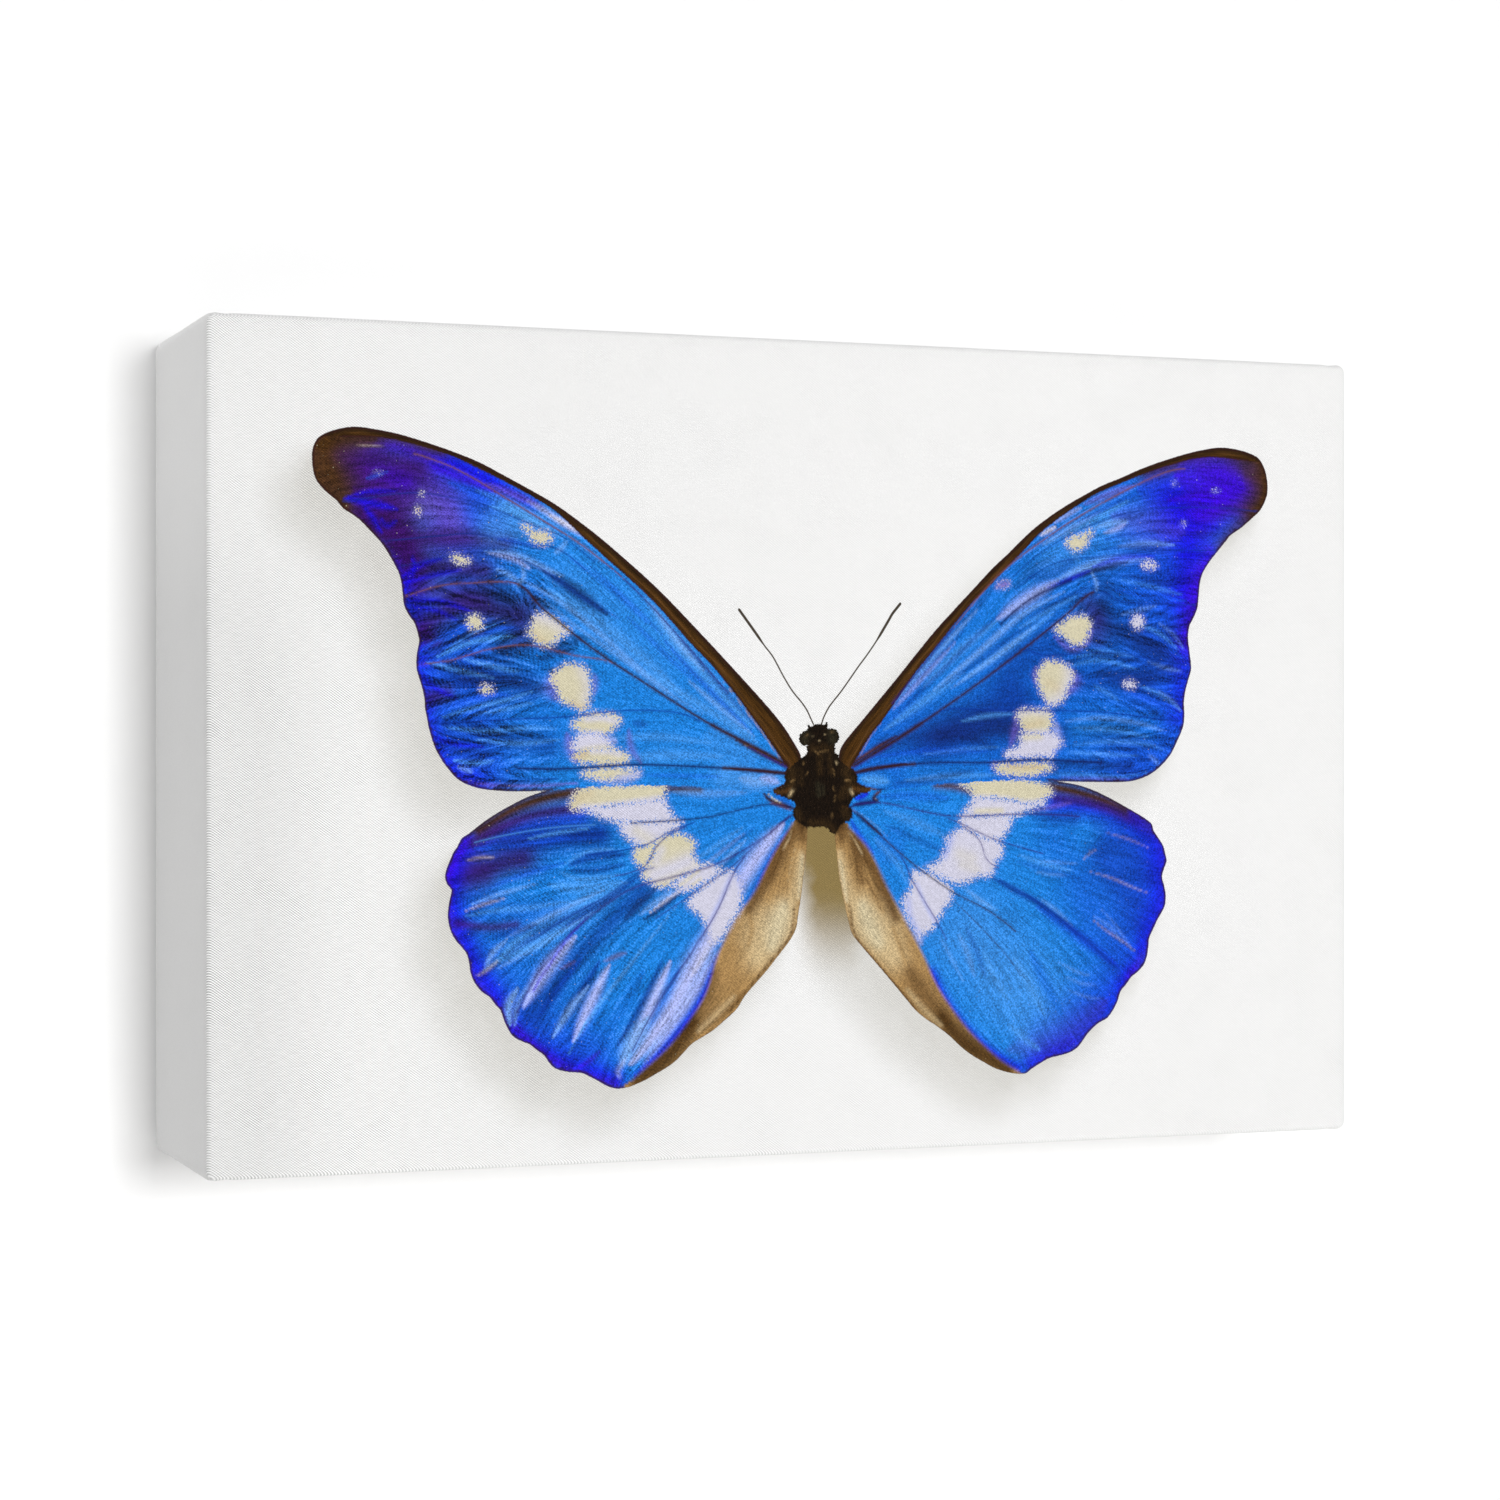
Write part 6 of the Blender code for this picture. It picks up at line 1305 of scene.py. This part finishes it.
def raw_finish():
    """The uncoated side: the same weave in unbleached cotton, with a few darker flecks."""
    raw = Finish("raw_canvas", 0.9, 0.1)
    spot = raw.place()
    weave = woven(raw, spot)
    flecks = raw.rise(raw.noise(spot, 0.9, 2.0), 0.70, 0.76, 0.0, 0.5)
    clouds = raw.rise(raw.noise(spot, 0.03, 3.0), 0.3, 0.7)
    cotton = raw.blend(clouds, seen_colour(226, 217, 196), seen_colour(214, 203, 180))
    cotton = raw.blend(flecks, cotton, seen_colour(150, 124, 88))
    # The low parts of the weave, between the threads, are painted darker brown as shade
    raw.colour(raw.blend(raw.rise(weave, 0.0, 0.6, 0.35, 0.0), cotton, seen_colour(150, 136, 110)))
    raw.relief(weave, 0.0001, 1.0)
    return raw.material


for finish in (print_finish(), raw_finish()):
    cloth.materials.append(finish)
cloth.polygons.foreach_set("material_index", [int(raw) for raw in sheet.raw])
cloth.polygons.foreach_set("use_smooth", [True] * len(cloth.polygons))
cloth.validate()
cloth.update()
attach(canvas, "root")
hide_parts("printed_canvas")


# Staples
# Flat-crowned galvanised wire, driven through the folded edge into the bars. The zinc has dulled,
# with bright marks where the gun's blade struck.

def metal_finish(name, dull, bright, roughness):
    metal = Finish(name, roughness, 0.5, 1.0)
    spot = metal.place()
    cloud = metal.noise(spot, 0.8, 4.0, 0.6)
    scratches = metal.noise(metal.scaled(spot, (1.0, 6.0, 9.0)), 1.0, 3.0, 0.7)
    metal.colour(metal.blend(metal.rise(cloud, 0.3, 0.7), dull, bright))
    metal.roughness(metal.rise(scratches, 0.3, 0.75, roughness - 0.08, roughness + 0.2))
    metal.relief(scratches, 0.00003, 0.5)
    return metal.material


WIRE_ARRIS = 0.12 * MM
zinc = metal_finish("dull_zinc", seen_colour(168, 170, 172), seen_colour(206, 208, 210), 0.34)
for name in sorted(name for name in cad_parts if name.startswith("staple_")):
    wire = softened(name, name.replace("staple", "wire_staple"), zinc, WIRE_ARRIS)


# Sawtooth plate and its pins
# A strip of thin steel, stamped with a raised toothed middle for the wall nail and washed with
# brass. Two panel pins through its ends hold it to the top bar.

brass = metal_finish("brass_wash", seen_colour(176, 140, 66), seen_colour(220, 186, 104), 0.30)
PLATE_ARRIS, PIN_ARRIS = 0.12 * MM, 0.1 * MM
plate = softened("sawtooth_plate", "toothed_plate", brass, PLATE_ARRIS)
for side in ("left", "right"):
    pin = softened("plate_pin_" + side, side + "_panel_pin", brass, PIN_ARRIS)


# Bumpers
# Two moulded domes of soft grey rubber, stuck to the folded edge near the lower corners, that
# keep the picture parallel to the wall and stop it sliding.

def rubber_finish():
    rubber = Finish("soft_grey_rubber", 0.55, 0.4)
    spot = rubber.place()
    dust = rubber.noise(spot, 1.4, 4.0, 0.7)
    dusty = rubber.rise(dust, 0.35, 0.75, 0.0, 0.5)
    rubber.colour(rubber.blend(dusty, seen_colour(98, 98, 100), seen_colour(140, 139, 138)))
    rubber.roughness(rubber.rise(dust, 0.3, 0.7, 0.45, 0.7))
    rubber.relief(rubber.noise(spot, 6.0, 2.0), 0.00004, 0.5)
    return rubber.material


# The dome's half profile, from its flat top to its base, in shares of its radius and height
DOME_PROFILE = ((0, 1), (0.55, 1), (0.72, 0.985), (0.82, 0.9), (0.90, 0.72), (0.96, 0.48), (0.99, 0.24),
                (1, 0.1), (0.99, 0), (0, 0))
grey_rubber = rubber_finish()
for side in ("left", "right"):
    low_corner, high_corner = (Vector(corner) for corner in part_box("bumper_" + side))
    middle = (low_corner + high_corner) / 2
    radius, height = (high_corner.x - low_corner.x) / 2, high_corner.y - low_corner.y
    bm = bmesh.new()
    points = [bm.verts.new((radius * out, 0, height * up)) for out, up in DOME_PROFILE]
    for one, other in zip(points, points[1:]):
        bm.edges.new((one, other))
    dome_mesh = bpy.data.meshes.new(side + "_bumper")
    bm.to_mesh(dome_mesh)
    bm.free()
    dome = bpy.data.objects.new(side + "_bumper", dome_mesh)
    SCENE.objects.link(dome)
    turn = dome.modifiers.new("turn", "SCREW")
    turn.steps = turn.render_steps = 48
    turn.use_merge_vertices = True
    turn.merge_threshold = 1e-6
    dome.rotation_euler = (math.radians(-90), 0, 0)
    dome.location = (middle.x, low_corner.y, middle.z)
    dome_mesh.materials.append(grey_rubber)
    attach(dome, "root")
    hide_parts("bumper_" + side)


# Wall and floor
# The picture hangs on a plain white wall, which the photograph fills. The floor lies far enough
# below it to be out of the photograph's frame.

def plain_finish(name, tone, see_through_back=False):
    paint = Finish(name, 0.9, 0.1)
    spot = paint.place()
    clouds = paint.rise(paint.noise(spot, 0.02, 2.0), 0.3, 0.7)
    paint.colour(paint.blend(clouds, tone, tuple(part * 0.99 for part in tone)))
    if see_through_back:
        clear = paint.step("ShaderNodeBsdfTransparent", {}).outputs[0]
        behind = paint.step("ShaderNodeNewGeometry", {}).outputs["Backfacing"]
        ray = paint.step("ShaderNodeLightPath", {}).outputs["Is Shadow Ray"]
        sides = {0: paint.sum("MAXIMUM", behind, ray), 1: paint.shader.outputs[0], 2: clear}
        mixed = paint.step("ShaderNodeMixShader", sides).outputs[0]
        paint.feed(paint.tree.nodes["Material Output"].inputs["Surface"], mixed)
    return paint.material


def flat_panel(name, corners, finish):
    mesh = bpy.data.meshes.new(name)
    mesh.from_pydata(corners, [], [(0, 1, 2, 3)])
    mesh.materials.append(finish)
    panel = bpy.data.objects.new(name, mesh)
    SCENE.objects.link(panel)


WALL_GAP = 0.3 * MM
WALL_Y = Vector(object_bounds()[1]).y + WALL_GAP
FLOOR_Z = MIDDLE.z - 0.42
CEILING_Z = 2.0
REACH = 2.2
flat_panel("wall", [(-REACH, WALL_Y, FLOOR_Z), (REACH, WALL_Y, FLOOR_Z), (REACH, WALL_Y, CEILING_Z),
                    (-REACH, WALL_Y, CEILING_Z)],
           plain_finish("white_wall", seen_colour(247, 247, 247), True))
flat_panel("floor", [(-REACH, -REACH, FLOOR_Z), (REACH, -REACH, FLOOR_Z), (REACH, REACH, FLOOR_Z),
                     (-REACH, REACH, FLOOR_Z)],
           plain_finish("pale_floor", seen_colour(232, 231, 229)))


# Light and camera
# A soft box straight in front of the picture, a broad weak one higher up, another behind the
# wall for the views of the back, and even light from all round.

def soft_box(name, place, size, power, aim):
    data = bpy.data.lights.new(name, "AREA")
    data.shape = "SQUARE"
    data.size = size
    data.energy = power
    lamp = bpy.data.objects.new(name, data)
    SCENE.objects.link(lamp)
    lamp.location = place
    lamp.rotation_euler = (Vector(aim) - Vector(place)).to_track_quat("-Z", "Y").to_euler()


AIM = (MIDDLE.x, low.y, MIDDLE.z)
soft_box("key", (0.02, -1.65, 0.06), 0.30, 14.3, AIM)
soft_box("front_fill", (0.6, -2.0, 0.5), 1.2, 0.9, AIM)
soft_box("behind", (-0.5, 1.8, 0.9), 1.2, 16, (MIDDLE.x, WALL_Y, MIDDLE.z))

surround = bpy.data.worlds.new("studio")
surround.use_nodes = True
daylight = surround.node_tree.nodes["Background"].inputs
daylight["Color"].default_value = (1, 1, 1, 1)
daylight["Strength"].default_value = 0.48
bpy.context.scene.world = surround
bpy.context.scene.view_settings.view_transform = "Standard"

CAMERA_YAW = math.radians(20.62)
CAMERA_LEFT = 0.2269
CAMERA_AHEAD = 0.5690
CAMERA_BELOW = 0.0006
LENS_MM = 78.5
camera_data = bpy.data.cameras.new("camera")
camera_data.lens = LENS_MM
camera_data.sensor_width = 36
camera_data.clip_start = 0.01
camera = bpy.data.objects.new("camera", camera_data)
SCENE.objects.link(camera)
camera.location = (MIDDLE.x - CAMERA_LEFT, low.y - CAMERA_AHEAD, MIDDLE.z - CAMERA_BELOW)
camera.rotation_euler = (math.radians(90), 0, -CAMERA_YAW)
bpy.context.scene.camera = camera
